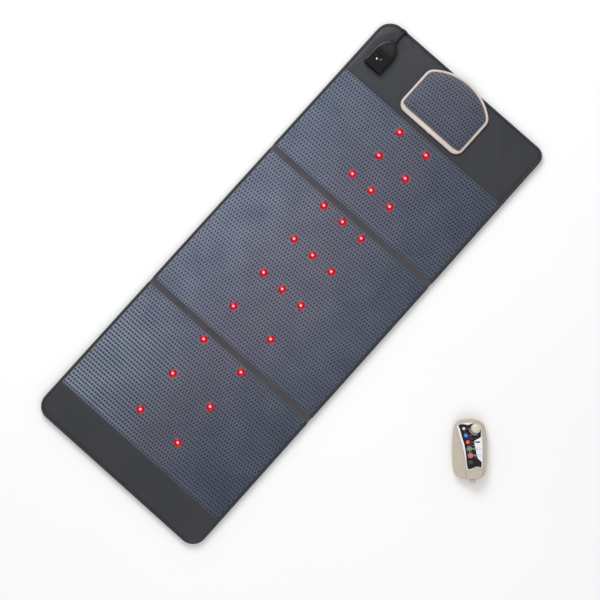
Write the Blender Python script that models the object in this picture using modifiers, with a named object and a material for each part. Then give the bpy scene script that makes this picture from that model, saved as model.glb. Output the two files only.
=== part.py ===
"""A three-panel folding infrared heating mat with a neck pillow, a lead connector and a hand controller.

Metres, +Z up. The origin is the centre of the mat's underside, +Y runs to the head end.
"""

import math

import bmesh
import bpy
from mathutils import Vector

MM = 0.001
GAP = 0.3 * MM

# The mat
MAT_WIDTH = 700 * MM
MAT_LENGTH = 1750 * MM
MAT_THICKNESS = 20 * MM
HEM_WIDTH = 10 * MM
HEM_ROUNDING = 3 * MM
HEAD_LEFT_RADIUS = 57 * MM
HEAD_RIGHT_RADIUS = 38 * MM
FOOT_RADIUS = 50 * MM
HEAD_BAND_START = 646.5 * MM
FOOT_BAND_START = -751.5 * MM

# Each fold is a gap between two panels, bridged by a strip of leather cloth
HEAD_FOLD_Y = 287 * MM
FOOT_FOLD_Y = -309 * MM
FOLD_GAP = 23 * MM
STRIP_BOTTOM = 15.5 * MM
STRIP_TOP = 17 * MM

# Layers of a panel, from the floor up
BASE_TOP = 1.5 * MM
END_WALL = 1.5 * MM
FOAM_TOP = 11.5 * MM
FILM_TOP = 12.3 * MM
COIL_TOP = 14.1 * MM
CARRIER_TOP = 15.2 * MM
COVER_BOTTOM = CARRIER_TOP + GAP
COIL_OUTER = 90 * MM
COIL_INNER = 70 * MM

# Photon lamps
LENS_RADIUS = 13 * MM
LENS_SHOULDER = 20.4 * MM
LENS_TOP = 22 * MM
LENS_TIP_RADIUS = 8 * MM
CARRIER_MARGIN = 16 * MM
LAMP_AXIS_X = -6 * MM
LAMP_NARROW = 58 * MM
LAMP_WIDE = 82 * MM
HEAD_LAMP_ROWS = ((604 * MM, 2, LAMP_NARROW), (500 * MM, 2, LAMP_NARROW), (395 * MM, 3, LAMP_WIDE))
MIDDLE_LAMP_ROWS = (
    (253 * MM, 3, LAMP_WIDE),
    (104.5 * MM, 3, LAMP_WIDE),
    (-46 * MM, 3, LAMP_WIDE),
    (-195 * MM, 2, LAMP_WIDE),
)
FOOT_LAMP_ROWS = ((-341 * MM, 2, LAMP_WIDE), (-492 * MM, 2, LAMP_WIDE), (-650 * MM, 2, LAMP_WIDE))

# The neck pillow, a D with its arch at the head end
PILLOW_X = 2 * MM
PILLOW_HALF_WIDTH = 133 * MM
PILLOW_FRONT = 665 * MM
PILLOW_SHOULDER = 827 * MM
PILLOW_ARCH = 54 * MM
PILLOW_CORNER = 25 * MM
PILLOW_SHOULDER_RADIUS = 22 * MM
PILLOW_BASE_TOP = 22 * MM
PILLOW_TOP = 56 * MM
PILLOW_CROWN = 14 * MM
PIPING_RADIUS = 5 * MM

# The connector at the end of the mat's lead
CONNECTOR_X = -277 * MM
CONNECTOR_FRONT = 702 * MM
CONNECTOR_TAIL = 818 * MM
CONNECTOR_HALF_WIDTH = 36 * MM
CONNECTOR_TOP = 45 * MM
CONNECTOR_SPLIT = 31 * MM
SOCKET_HALF_WIDTH = 26 * MM
SOCKET_BOTTOM = 25 * MM
SOCKET_TOP = 38 * MM
SOCKET_BACK = 785 * MM
LATCH_SIZE = (30.4 * MM, 20.4 * MM)
LATCH_CENTRE = (-281.5 * MM, 742.5 * MM)
LATCH_BOTTOM = 36.6 * MM
LATCH_TOP = 43.5 * MM
LEAD_RADIUS = 4.5 * MM
LEAD_ROUTE = (
    (-276 * MM, 863.5 * MM, 27 * MM),
    (-276 * MM, 857 * MM, 27.4 * MM),
    (-276.2 * MM, 850 * MM, 28.4 * MM),
    (-276.5 * MM, 843 * MM, 29.9 * MM),
    (-276.8 * MM, 836 * MM, 30.9 * MM),
    (-277 * MM, 829 * MM, 31.15 * MM),
    (-277 * MM, 816 * MM, 31.15 * MM),
    (-277 * MM, 803 * MM, 31.15 * MM),
    (-277 * MM, 790 * MM, 31.15 * MM),
)

# The hand controller, drawn upright and then turned on the floor beside the mat
CONTROLLER_PLACE = (801 * MM, -31 * MM, 0)
CONTROLLER_TURN = math.radians(41.5)
CONTROLLER_FLOOR = 2 * MM
CONTROLLER_SPLIT = 20 * MM
CONTROLLER_SHOULDER = 36 * MM
CONTROLLER_WALL = 3 * MM
TIER_TOP = 41 * MM
TIER_WALL = 2.5 * MM
OVERLAY_TOP = 41.9 * MM
TEMPERATURE_AXIS = (19.2 * MM, 65.5 * MM)
FREQUENCY_AXIS = (-20.2 * MM, 65 * MM)
BUTTONS = {
    "pulse_button": (-13 * MM, 42.8 * MM, 6.9 * MM),
    "photon_button": (-6.9 * MM, 21.3 * MM, 6.9 * MM),
    "timer_button": (-1.8 * MM, -0.5 * MM, 7.5 * MM),
    "power_button": (1.8 * MM, -21.9 * MM, 7.5 * MM),
}
BUTTON_TOP = 43.1 * MM
INDICATORS = (
    (-4.3 * MM, 64.4 * MM),
    (3.1 * MM, 42.6 * MM),
    (6.1 * MM, 32.2 * MM),
    (9.2 * MM, 21.2 * MM),
    (11.7 * MM, 10.4 * MM),
    (14.3 * MM, -0.3 * MM),
    (17.9 * MM, -21.9 * MM),
)
INDICATOR_RADIUS = 2.4 * MM
DISPLAY_CENTRE = (2.3 * MM, -43.8 * MM)
DISPLAY_SIZE = (15.3 * MM, 13 * MM)
SCREW_PLACES = ((-41 * MM, 68 * MM), (41 * MM, 66 * MM), (-42 * MM, -68 * MM), (42 * MM, -66 * MM))
FOOT_PLACES = ((-34 * MM, 80 * MM), (34 * MM, 80 * MM), (-36 * MM, -78 * MM), (36 * MM, -78 * MM))


# ---------------------------------------------------------------- scene and materials


def clear_scene():
    for old in list(bpy.data.objects):
        bpy.data.objects.remove(old)


def new_collection(name):
    made = bpy.data.collections.new(name)
    bpy.context.scene.collection.children.link(made)
    return made


def material(name, colour, roughness, metallic=0.0):
    made = bpy.data.materials.new(name)
    made.use_nodes = True
    shader = made.node_tree.nodes["Principled BSDF"]
    shader.inputs["Base Color"].default_value = (*colour, 1)
    shader.inputs["Roughness"].default_value = roughness
    shader.inputs["Metallic"].default_value = metallic
    return made


clear_scene()
PARTS = new_collection("infrared_heating_mat")
HELPERS = new_collection("cutters")

MESH_FABRIC = material("mesh_fabric", (0.14, 0.17, 0.23), 0.8)
PU_LEATHER = material("pu_leather", (0.055, 0.055, 0.06), 0.45)
HEM_BINDING = material("hem_binding", (0.03, 0.032, 0.036), 0.6)
STRIP_PU = material("strip_pu", (0.08, 0.072, 0.078), 0.55)
BACKING = material("backing", (0.03, 0.03, 0.033), 0.75)
FOAM = material("foam", (0.75, 0.73, 0.66), 0.95)
FILM = material("heating_film", (0.05, 0.05, 0.055), 0.5)
COPPER = material("coil_copper", (0.72, 0.32, 0.14), 0.35, 1.0)
LENS = material("lamp_lens", (0.75, 0.01, 0.03), 0.15)
PIPING = material("piping", (0.56, 0.47, 0.44), 0.6)
DARK_PLASTIC = material("connector_plastic", (0.02, 0.022, 0.027), 0.35)
RUBBER = material("rubber", (0.02, 0.02, 0.022), 0.7)
STEEL = material("steel", (0.6, 0.6, 0.62), 0.3, 1.0)
BRASS = material("contact_brass", (0.8, 0.6, 0.25), 0.3, 1.0)
SHELL = material("controller_plastic", (0.48, 0.43, 0.36), 0.4)
OVERLAY = material("overlay_print", (0.02, 0.018, 0.02), 0.35)
IVORY = material("knob_ivory", (0.66, 0.62, 0.52), 0.3)
BLUE = material("button_blue", (0.0, 0.19, 0.66), 0.4)
RED = material("button_red", (0.75, 0.01, 0.03), 0.4)
GREEN = material("button_green", (0.005, 0.19, 0.03), 0.4)
DISPLAY = material("display_glass", (0.03, 0.03, 0.035), 0.1)
LIGHT_PIPE = material("light_pipe", (0.12, 0.1, 0.1), 0.25)
BOARD = material("circuit_board", (0.02, 0.16, 0.06), 0.5)


# ---------------------------------------------------------------- outlines


def arc(centre, radius, start, end, steps):
    """Points round an arc, angles in radians, both ends included."""
    angles = [start + (end - start) * i / steps for i in range(steps + 1)]
    return [(centre[0] + radius * math.cos(a), centre[1] + radius * math.sin(a)) for a in angles]


def rounded(corners, steps=6):
    """A closed outline through (x, y, radius) corners, each corner with a radius turned into an arc."""
    points = []
    for i, (x, y, radius) in enumerate(corners):
        if not radius:
            points.append((x, y))
            continue
        here = Vector((x, y))
        back = (Vector(corners[i - 1][:2]) - here).normalized()
        ahead = (Vector(corners[(i + 1) % len(corners)][:2]) - here).normalized()
        half = back.angle(ahead) / 2
        centre = here + (back + ahead).normalized() * radius / math.sin(half)
        first = here + back * radius / math.tan(half) - centre
        last = here + ahead * radius / math.tan(half) - centre
        start = math.atan2(first.y, first.x)
        turn = math.remainder(math.atan2(last.y, last.x) - start, math.tau)
        points += arc(centre, radius, start, start + turn, steps)
    return points


def rectangle(x_from, x_to, y_from, y_to, radius=0.0):
    return rounded([(x_from, y_from, radius), (x_to, y_from, radius), (x_to, y_to, radius), (x_from, y_to, radius)])


def inset(outline, distance):
    """An anticlockwise outline moved inwards, each corner along its mitre."""
    moved = []
    for i, point in enumerate(outline):
        here = Vector(point)
        before = (here - Vector(outline[i - 1])).normalized()
        after = (Vector(outline[(i + 1) % len(outline)]) - here).normalized()
        normal = Vector((-before.y - after.y, before.x + after.x)).normalized()
        lean = max(0.4, normal.dot(Vector((-after.y, after.x))))
        moved.append(tuple(here + normal * distance / lean))
    return moved


# ---------------------------------------------------------------- solids


def as_mesh(curve_object):
    """The curve object as a mesh object in the same place, its caps welded to its sides."""
    bpy.context.view_layer.update()
    graph = bpy.context.evaluated_depsgraph_get()
    mesh = bpy.data.meshes.new_from_object(curve_object.evaluated_get(graph))
    shape = bmesh.new()
    shape.from_mesh(mesh)
    bmesh.ops.remove_doubles(shape, verts=shape.verts, dist=0.005 * MM)
    bmesh.ops.recalc_face_normals(shape, faces=shape.faces)
    shape.to_mesh(mesh)
    shape.free()
    made = bpy.data.objects.new(curve_object.name + "_mesh", mesh)
    made.matrix_world = curve_object.matrix_world.copy()
    name = curve_object.name
    bpy.data.objects.remove(curve_object)
    made.name = name
    return made


def plate(name, outline, bottom, top):
    """A flat outline in the XY plane, made solid from bottom to top."""
    curve = bpy.data.curves.new(name, "CURVE")
    curve.dimensions = "2D"
    curve.fill_mode = "BOTH"
    curve.extrude = (top - bottom) / 2
    spline = curve.splines.new("POLY")
    spline.points.add(len(outline) - 1)
    for point, (x, y) in zip(spline.points, outline):
        point.co = (x, y, 0, 1)
    spline.use_cyclic_u = True
    made = bpy.data.objects.new(name, curve)
    HELPERS.objects.link(made)
    made.location.z = (bottom + top) / 2
    solid = as_mesh(made)
    HELPERS.objects.link(solid)
    solid.data.transform(solid.matrix_world)
    solid.matrix_world.identity()
    return solid


def box(name, x_range, y_range, z_range):
    return plate(name, rectangle(*x_range, *y_range), *z_range)


def cylinder(name, centre, radius, bottom, top, top_radius=None, segments=24):
    mesh = bpy.data.meshes.new(name)
    shape = bmesh.new()
    bmesh.ops.create_cone(
        shape,
        cap_ends=True,
        segments=segments,
        radius1=radius,
        radius2=radius if top_radius is None else top_radius,
        depth=top - bottom,
    )
    bmesh.ops.translate(shape, verts=shape.verts, vec=(centre[0], centre[1], (bottom + top) / 2))
    shape.to_mesh(mesh)
    shape.free()
    made = bpy.data.objects.new(name, mesh)
    HELPERS.objects.link(made)
    return made


def turned(name, centre, profile, steps):
    """A profile of (radius, height) points, from the top axis point down the outside, turned about Z."""
    mesh = bpy.data.meshes.new(name)
    edges = [(i, i + 1) for i in range(len(profile) - 1)]
    mesh.from_pydata([(radius, 0, height) for radius, height in profile], edges, [])
    made = bpy.data.objects.new(name, mesh)
    HELPERS.objects.link(made)
    made.location = (centre[0], centre[1], 0)
    screw = made.modifiers.new("turn", "SCREW")
    screw.steps = steps
    screw.render_steps = steps
    screw.use_merge_vertices = True
    screw.merge_threshold = 0.00001
    return made


def joined(name, solids):
    """Several meshes as one object, still separate bodies: for cutters, and for groups united by a Boolean."""
    shape = bmesh.new()
    for solid in solids:
        shape.from_mesh(solid.data)
        bpy.data.objects.remove(solid)
    mesh = bpy.data.meshes.new(name)
    shape.to_mesh(mesh)
    shape.free()
    made = bpy.data.objects.new(name, mesh)
    HELPERS.objects.link(made)
    return made


def boolean(target, other, operation):
    """Unites other with target or cuts it out of target. The other stays as a hidden helper."""
    other.hide_render = True
    other.display_type = "WIRE"
    modifier = target.modifiers.new(other.name, "BOOLEAN")
    modifier.operation = operation
    modifier.object = other
    modifier.solver = "EXACT"
    return target


def cut(target, *cutters):
    for cutter in cutters:
        boolean(target, cutter, "DIFFERENCE")
    return target


def unite(target, *others):
    for other in others:
        boolean(target, other, "UNION")
    return target


def round_rim(solid, height, width, segments=3):
    """Rounds the edges of a solid's rim at this height."""
    shape = bmesh.new()
    shape.from_mesh(solid.data)
    rim = [e for e in shape.edges if all(abs(v.co.z - height) < 1e-6 for v in e.verts) and e.is_manifold]
    sharp = [e for e in rim if e.calc_face_angle(0) > 0.5]
    bmesh.ops.bevel(shape, geom=sharp, offset=width, segments=segments, profile=0.5, affect="EDGES")
    shape.to_mesh(solid.data)
    shape.free()
    return solid


def keep(solid, finish, parent=None):
    """Moves a finished solid into the model's collection, with its material and its parent, which its helpers share."""
    if solid.name in HELPERS.objects:
        HELPERS.objects.unlink(solid)
    PARTS.objects.link(solid)
    if solid.type == "MESH":
        solid.data.shade_smooth()
        solid.data.set_sharp_from_angle(angle=math.radians(35))
    solid.data.materials.clear()
    solid.data.materials.append(finish)
    helpers = [modifier.object for modifier in solid.modifiers if modifier.type == "BOOLEAN"]
    for piece in (solid, *helpers):
        piece.parent = parent
    return solid


# ---------------------------------------------------------------- the mat's panels

HALF_WIDTH = MAT_WIDTH / 2
HALF_LENGTH = MAT_LENGTH / 2
FILLED_HALF_WIDTH = HALF_WIDTH - HEM_WIDTH - GAP
PANEL_OFFSET = FOLD_GAP / 2


def panel_outline(y_from, y_to, radii, margin=0.0):
    """What a panel's layers fill inside the hem: radii are those of the mat's own corners there."""
    side = FILLED_HALF_WIDTH - margin
    corner = {place: max(0.0, radius - HEM_WIDTH - GAP - margin) for place, radius in radii.items()}
    return rounded(
        [
            (-side, y_from, corner.get("foot", 0)),
            (side, y_from, corner.get("foot", 0)),
            (side, y_to, corner.get("head_right", 0)),
            (-side, y_to, corner.get("head_left", 0)),
        ]
    )


def lamp_places(rows):
    places = []
    for y, count, spread in rows:
        xs = (-spread, spread) if count == 2 else (-spread, 0, spread)
        places += [(LAMP_AXIS_X + x, y) for x in xs]
    return places


def base_cover(name, y_from, y_to, radii, walls):
    """The backing under a panel, turned up at each end that meets a fold."""
    sheet = plate(name + "_base_cover", panel_outline(y_from, y_to, radii), 0, BASE_TOP)
    for i, (low, high) in enumerate(walls):
        turned_up = box(
            f"{name}_end_wall_{i}", (-FILLED_HALF_WIDTH, FILLED_HALF_WIDTH), (low, high), (BASE_TOP / 2, CARRIER_TOP)
        )
        unite(sheet, turned_up)
    return keep(sheet, BACKING)


def photon_array(name, rows):
    """Lamps on one flexible carrier, each lens reaching through the cover above."""
    places = lamp_places(rows)
    xs = [x for x, _ in places]
    ys = [y for _, y in places]
    carrier = box(
        "photon_array_" + name,
        (min(xs) - CARRIER_MARGIN, max(xs) + CARRIER_MARGIN),
        (min(ys) - CARRIER_MARGIN, max(ys) + CARRIER_MARGIN),
        (COIL_TOP + GAP, CARRIER_TOP),
    )
    for i, place in enumerate(places):
        body = cylinder(f"{name}_lens_{i}", place, LENS_RADIUS, CARRIER_TOP - GAP, LENS_SHOULDER, segments=16)
        tip = cylinder(
            f"{name}_lens_tip_{i}", place, LENS_RADIUS, LENS_SHOULDER - GAP, LENS_TOP, LENS_TIP_RADIUS, segments=16
        )
        unite(carrier, body, tip)
    return keep(carrier, LENS)


def mesh_cover(name, outline, rows):
    """The spacer-mesh top of a panel, with a hole over each lens."""
    cover = plate(name + "_mesh_cover", outline, COVER_BOTTOM, MAT_THICKNESS)
    holes = [
        cylinder(f"{name}_hole_{i}", place, LENS_RADIUS + GAP, COVER_BOTTOM - MM, MAT_THICKNESS + MM, segments=16)
        for i, place in enumerate(lamp_places(rows))
    ]
    return keep(cut(cover, joined(name + "_lens_holes", holes)), MESH_FABRIC)


def coil(name, y):
    """A flat pulse coil, wound as one solid ring."""
    low, high = FILM_TOP + GAP, COIL_TOP
    ring = cylinder(name + "_pulse_coil", (LAMP_AXIS_X, y), COIL_OUTER, low, high, segments=48)
    bore = cylinder(name + "_coil_bore", (LAMP_AXIS_X, y), COIL_INNER, low - MM, high + MM, segments=48)
    return keep(cut(ring, bore), COPPER)


def panel(name, y_from, y_to, radii, folds, rows, cover_from, cover_to):
    """All the layers of one panel. folds says which of its ends, from or to, meet a fold."""
    walls = []
    inner_from, inner_to = y_from, y_to
    if "from" in folds:
        walls.append((y_from, y_from + END_WALL))
        inner_from = y_from + END_WALL + GAP
    if "to" in folds:
        walls.append((y_to - END_WALL, y_to))
        inner_to = y_to - END_WALL - GAP
    base_cover(name, y_from, y_to, radii, walls)
    filled = panel_outline(inner_from, inner_to, radii)
    heated = panel_outline(inner_from + HEM_WIDTH, inner_to - HEM_WIDTH, radii, margin=HEM_WIDTH)
    keep(plate(name + "_foam_core", filled, BASE_TOP + GAP, FOAM_TOP), FOAM)
    keep(plate(name + "_heating_film", heated, FOAM_TOP + GAP, FILM_TOP), FILM)
    coil(name, (cover_from + cover_to) / 2)
    photon_array(name, rows)
    cover_radii = {} if (cover_from, cover_to) != (y_from, y_to) else radii
    mesh_cover(name, panel_outline(cover_from, cover_to, cover_radii), rows)


def band(name, y_from, y_to, radii):
    """The leather band across an end of the mat."""
    return keep(plate(name, panel_outline(y_from, y_to, radii), COVER_BOTTOM, MAT_THICKNESS), PU_LEATHER)


def round_edges(solid, width):
    weld = solid.modifiers.new("weld", "WELD")
    weld.merge_threshold = 0.00001
    bevel = solid.modifiers.new("rounding", "BEVEL")
    bevel.width = width
    bevel.segments = 2
    bevel.limit_method = "ANGLE"
    bevel.angle_limit = math.radians(60)
    return solid


def end_hem(name, fold_end, far_end, left_radius, right_radius):
    """The binding round three sides of an end panel. far_end is the mat's own edge."""
    outer = [
        (HALF_WIDTH, fold_end, 0),
        (HALF_WIDTH, far_end, right_radius),
        (-HALF_WIDTH, far_end, left_radius),
        (-HALF_WIDTH, fold_end, 0),
    ]
    side = HALF_WIDTH - HEM_WIDTH
    inner_end = far_end - math.copysign(HEM_WIDTH, far_end)
    inner = [
        (-side, fold_end, 0),
        (-side, inner_end, left_radius - HEM_WIDTH),
        (side, inner_end, right_radius - HEM_WIDTH),
        (side, fold_end, 0),
    ]
    return keep(round_edges(plate(name, rounded(outer + inner), 0, MAT_THICKNESS), HEM_ROUNDING), HEM_BINDING)


def side_hem(name, sign, y_from, y_to):
    xs = sorted((sign * HALF_WIDTH, sign * (HALF_WIDTH - HEM_WIDTH)))
    bar = box(name, xs, (y_from, y_to), (0, MAT_THICKNESS))
    return keep(round_edges(bar, HEM_ROUNDING), HEM_BINDING)


def fold_strip(name, y):
    """The strip that bridges a fold, a little below the covers."""
    half = PANEL_OFFSET - GAP
    x_range = (-HALF_WIDTH + MM, HALF_WIDTH - MM)
    return keep(box(name, x_range, (y - half, y + half), (STRIP_BOTTOM, STRIP_TOP)), STRIP_PU)


def build_mat():
    head_radii = {"head_left": HEAD_LEFT_RADIUS, "head_right": HEAD_RIGHT_RADIUS}
    foot_radii = {"foot": FOOT_RADIUS}
    head_from = HEAD_FOLD_Y + PANEL_OFFSET
    middle_to = HEAD_FOLD_Y - PANEL_OFFSET
    middle_from = FOOT_FOLD_Y + PANEL_OFFSET
    foot_to = FOOT_FOLD_Y - PANEL_OFFSET
    head_to = HALF_LENGTH - HEM_WIDTH - GAP
    foot_from = -head_to
    band_gap = GAP / 2
    panel(
        "head", head_from, head_to, head_radii, ("from",), HEAD_LAMP_ROWS, head_from, HEAD_BAND_START - band_gap
    )
    panel("middle", middle_from, middle_to, {}, ("from", "to"), MIDDLE_LAMP_ROWS, middle_from, middle_to)
    panel(
        "foot", foot_from, foot_to, foot_radii, ("to",), FOOT_LAMP_ROWS, FOOT_BAND_START + band_gap, foot_to
    )
    band("head_band", HEAD_BAND_START + band_gap, head_to, head_radii)
    band("foot_band", foot_from, FOOT_BAND_START - band_gap, foot_radii)
    end_hem("head_hem", head_from, HALF_LENGTH, HEAD_LEFT_RADIUS, HEAD_RIGHT_RADIUS)
    end_hem("foot_hem", foot_to, -HALF_LENGTH, FOOT_RADIUS, FOOT_RADIUS)
    side_hem("middle_hem_left", -1, middle_from, middle_to)
    side_hem("middle_hem_right", 1, middle_from, middle_to)
    fold_strip("head_fold_strip", HEAD_FOLD_Y)
    fold_strip("foot_fold_strip", FOOT_FOLD_Y)


# ---------------------------------------------------------------- the pillow


def pillow_outline():
    radius = (PILLOW_HALF_WIDTH**2 + PILLOW_ARCH**2) / (2 * PILLOW_ARCH)
    centre = (PILLOW_X, PILLOW_SHOULDER + PILLOW_ARCH - radius)
    half_angle = math.asin(PILLOW_HALF_WIDTH / radius)
    arch = arc(centre, radius, math.pi / 2 - half_angle, math.pi / 2 + half_angle, 12)
    left, right = PILLOW_X - PILLOW_HALF_WIDTH, PILLOW_X + PILLOW_HALF_WIDTH
    crown = [(x, y, PILLOW_SHOULDER_RADIUS if i in (0, 12) else 0) for i, (x, y) in enumerate(arch)]
    return rounded([(left, PILLOW_FRONT, PILLOW_CORNER), (right, PILLOW_FRONT, PILLOW_CORNER), *crown], steps=5)


def tube(name, points, radius, cyclic=False):
    curve = bpy.data.curves.new(name, "CURVE")
    curve.dimensions = "3D"
    curve.bevel_depth = radius
    curve.bevel_resolution = 2
    curve.use_fill_caps = True
    spline = curve.splines.new("POLY")
    spline.points.add(len(points) - 1)
    for point, place in zip(spline.points, points):
        point.co = (*place, 1)
    spline.use_cyclic_u = cyclic
    made = bpy.data.objects.new(name, curve)
    HELPERS.objects.link(made)
    return made


def build_pillow():
    outline = pillow_outline()
    keep(plate("pillow_base", inset(outline, 2 * MM), MAT_THICKNESS + GAP, PILLOW_BASE_TOP), PU_LEATHER)
    cushion_outline = inset(outline, 2 * PIPING_RADIUS + MM)
    cushion = plate("pillow_cushion", cushion_outline, PILLOW_BASE_TOP + GAP, PILLOW_TOP)
    keep(round_rim(cushion, PILLOW_TOP, PILLOW_CROWN), MESH_FABRIC)
    height = PILLOW_BASE_TOP + GAP + PIPING_RADIUS
    route = [(x, y, height) for x, y in inset(outline, PIPING_RADIUS)]
    keep(tube("pillow_piping", route, PIPING_RADIUS, cyclic=True), PIPING)


# ---------------------------------------------------------------- the connector


def connector_outline():
    wide, x = CONNECTOR_HALF_WIDTH, CONNECTOR_X
    tail = [(36, 765), (33.5, 782), (27, 799), (17, 812), (9, 818)]
    right = [(x + across * MM, y * MM, 0) for across, y in tail]
    left = [(2 * x - px, py, 0) for px, py, _ in reversed(right)]
    front = [(x - wide, CONNECTOR_FRONT, 8 * MM), (x + wide, CONNECTOR_FRONT, 8 * MM)]
    return rounded([*front, *right, *left], steps=4)


def along_y(name, x, z, radius, y_from, y_to, segments=16):
    """A round bar lying along Y."""
    bar = cylinder(name, (0, 0), radius, y_from, y_to, segments=segments)
    for vertex in bar.data.vertices:
        across, up, along = vertex.co
        vertex.co = (x - across, along, z + up)
    return bar


def socket_cutters(name):
    socket = box(
        name + "_socket",
        (CONNECTOR_X - SOCKET_HALF_WIDTH, CONNECTOR_X + SOCKET_HALF_WIDTH),
        (CONNECTOR_FRONT - MM, SOCKET_BACK),
        (SOCKET_BOTTOM, SOCKET_TOP),
    )
    lead_hole = along_y(
        name + "_lead_hole", CONNECTOR_X, LEAD_ROUTE[-1][2], LEAD_RADIUS + GAP, SOCKET_BACK - MM, CONNECTOR_TAIL + MM
    )
    return socket, lead_hole


def build_connector():
    outline = connector_outline()
    lower = plate("connector_lower_shell", outline, MAT_THICKNESS + GAP, CONNECTOR_SPLIT)
    keep(cut(lower, *socket_cutters("lower")), DARK_PLASTIC)
    upper = round_rim(plate("connector_upper_shell", outline, CONNECTOR_SPLIT + GAP, CONNECTOR_TOP), CONNECTOR_TOP, 5 * MM)
    half_x, half_y = LATCH_SIZE[0] / 2, LATCH_SIZE[1] / 2
    window = box(
        "latch_window",
        (LATCH_CENTRE[0] - half_x - GAP, LATCH_CENTRE[0] + half_x + GAP),
        (LATCH_CENTRE[1] - half_y - GAP, LATCH_CENTRE[1] + half_y + GAP),
        (SOCKET_TOP - MM, CONNECTOR_TOP + MM),
    )
    screw_place = (-281 * MM, 796 * MM)
    counterbore = cylinder("connector_counterbore", screw_place, 3.3 * MM, 40.7 * MM, CONNECTOR_TOP + MM)
    pilot = cylinder("connector_pilot", screw_place, 1.5 * MM, 37.2 * MM, 41 * MM, segments=12)
    keep(cut(upper, *socket_cutters("upper"), window, counterbore, pilot), DARK_PLASTIC)
    latch = box(
        "connector_latch",
        (LATCH_CENTRE[0] - half_x, LATCH_CENTRE[0] + half_x),
        (LATCH_CENTRE[1] - half_y, LATCH_CENTRE[1] + half_y),
        (LATCH_BOTTOM, LATCH_TOP),
    )
    keep(round_rim(latch, LATCH_TOP, 1.2 * MM, 2), DARK_PLASTIC)
    screw = cylinder("connector_screw", screw_place, 3 * MM, 41 * MM, 43.4 * MM)
    shank = cylinder("connector_screw_shank", screw_place, 1.2 * MM, 37.5 * MM, 41.5 * MM, segments=12)
    keep(unite(screw, shank), STEEL)
    block = box(
        "connector_contact_block",
        (CONNECTOR_X - SOCKET_HALF_WIDTH + GAP, CONNECTOR_X + SOCKET_HALF_WIDTH - GAP),
        (728 * MM, 746 * MM),
        (SOCKET_BOTTOM + GAP, 34 * MM),
    )
    for i in range(6):
        pin = along_y(
            f"contact_{i}", CONNECTOR_X + (i - 2.5) * 8 * MM, 29.6 * MM, 1.2 * MM, 714 * MM, 730 * MM, segments=10
        )
        unite(block, pin)
    keep(block, BRASS)
    boot = along_y("lead_boot", CONNECTOR_X, LEAD_ROUTE[-1][2], 8 * MM, CONNECTOR_TAIL + GAP, 836 * MM, segments=20)
    for vertex in boot.data.vertices:
        if vertex.co.y > 830 * MM:
            vertex.co.x = CONNECTOR_X + (vertex.co.x - CONNECTOR_X) * 0.75
            vertex.co.z = LEAD_ROUTE[-1][2] + (vertex.co.z - LEAD_ROUTE[-1][2]) * 0.75
    boot_bore = along_y(
        "boot_bore", CONNECTOR_X, LEAD_ROUTE[-1][2], LEAD_RADIUS + 0.7 * MM, CONNECTOR_TAIL - MM, 838 * MM, segments=20
    )
    keep(cut(boot, boot_bore), RUBBER)
    keep(tube("connector_lead", LEAD_ROUTE, LEAD_RADIUS), RUBBER)
    grommet = plate(
        "lead_grommet",
        rectangle(-286 * MM, -266 * MM, 864 * MM, 873.5 * MM, 3 * MM),
        MAT_THICKNESS + GAP,
        33 * MM,
    )
    keep(round_rim(grommet, 33 * MM, 3 * MM), RUBBER)


# ---------------------------------------------------------------- the hand controller

SHELL_OUTLINE = [
    (-44, -85), (-34, -92), (-18, -96.5), (0, -98), (18, -98), (33, -97), (43, -91), (51, -81), (54.5, -66),
    (56.5, -40), (57, -5), (56.5, 30), (54, 62), (50, 76), (44, 84), (36, 91), (24, 96), (8, 99), (-10, 99),
    (-28, 96), (-40, 90), (-48, 80), (-53, 62), (-56, 30), (-57, -5), (-56, -40), (-54, -64), (-50, -77),
]  # fmt: skip
TIER_OUTLINE = [
    (-9.5, -98.8), (33.5, -98.8), (38, -95), (39.5, -88), (43, -57), (44, -1), (43, 29), (40.6, 60), (37.5, 86),
    (24, 92), (8, 95), (-10, 95), (-28, 91.5), (-42, 84), (-46.5, 78), (-40, 61), (-32, 36), (-25.5, 12),
    (-20.5, -14), (-15.5, -41), (-13, -72), (-12, -95),
]  # fmt: skip
TIER_HOLLOW = [
    (0, -88), (30, -88), (33, -50), (34, 0), (33, 40), (30, 76), (20, 82), (-10, 84), (-30, 78),
    (-34, 70), (-27, 50), (-17, 15), (-10, -20), (-5, -50),
]  # fmt: skip
OVERLAY_OUTLINE = [
    (-6, -69), (3, -68), (10, -64.5), (18, -59.5), (26, -58), (33, -59.5), (39, -63), (40.5, -34), (41.2, 0),
    (40.5, 30), (38, 62), (36.5, 73), (33, 77), (24, 81), (8, 84), (-5, 85), (-20, 83), (-35, 79), (-40.5, 76),
    (-41.8, 72), (-40, 62), (-33, 38), (-25.5, 12), (-19, -15), (-15, -40), (-11.5, -62), (-9.5, -67),
]  # fmt: skip


def in_metres(outline):
    return [(u * MM, v * MM) for u, v in outline]


def cavity(name, outline, wall, bottom, top):
    return plate(name, inset(in_metres(outline), wall), bottom, top)


def face_holes(name, bottom, top):
    """Cutters for what comes up through the controller's face."""
    holes = [
        cylinder(f"{name}_{button}", (u, v), radius + GAP, bottom, top)
        for button, (u, v, radius) in BUTTONS.items()
    ]
    holes += [
        cylinder(f"{name}_indicator_{i}", place, INDICATOR_RADIUS + GAP, bottom, top, segments=12)
        for i, place in enumerate(INDICATORS)
    ]
    holes.append(cylinder(name + "_temperature", TEMPERATURE_AXIS, 4 * MM, bottom, top, segments=16))
    holes.append(cylinder(name + "_frequency", FREQUENCY_AXIS, 3 * MM, bottom, top, segments=12))
    half_u, half_v = DISPLAY_SIZE[0] / 2 + GAP, DISPLAY_SIZE[1] / 2 + GAP
    u, v = DISPLAY_CENTRE
    holes.append(box(name + "_display", (u - half_u, u + half_u), (v - half_v, v + half_v), (bottom, top)))
    return joined(name, holes)


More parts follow.
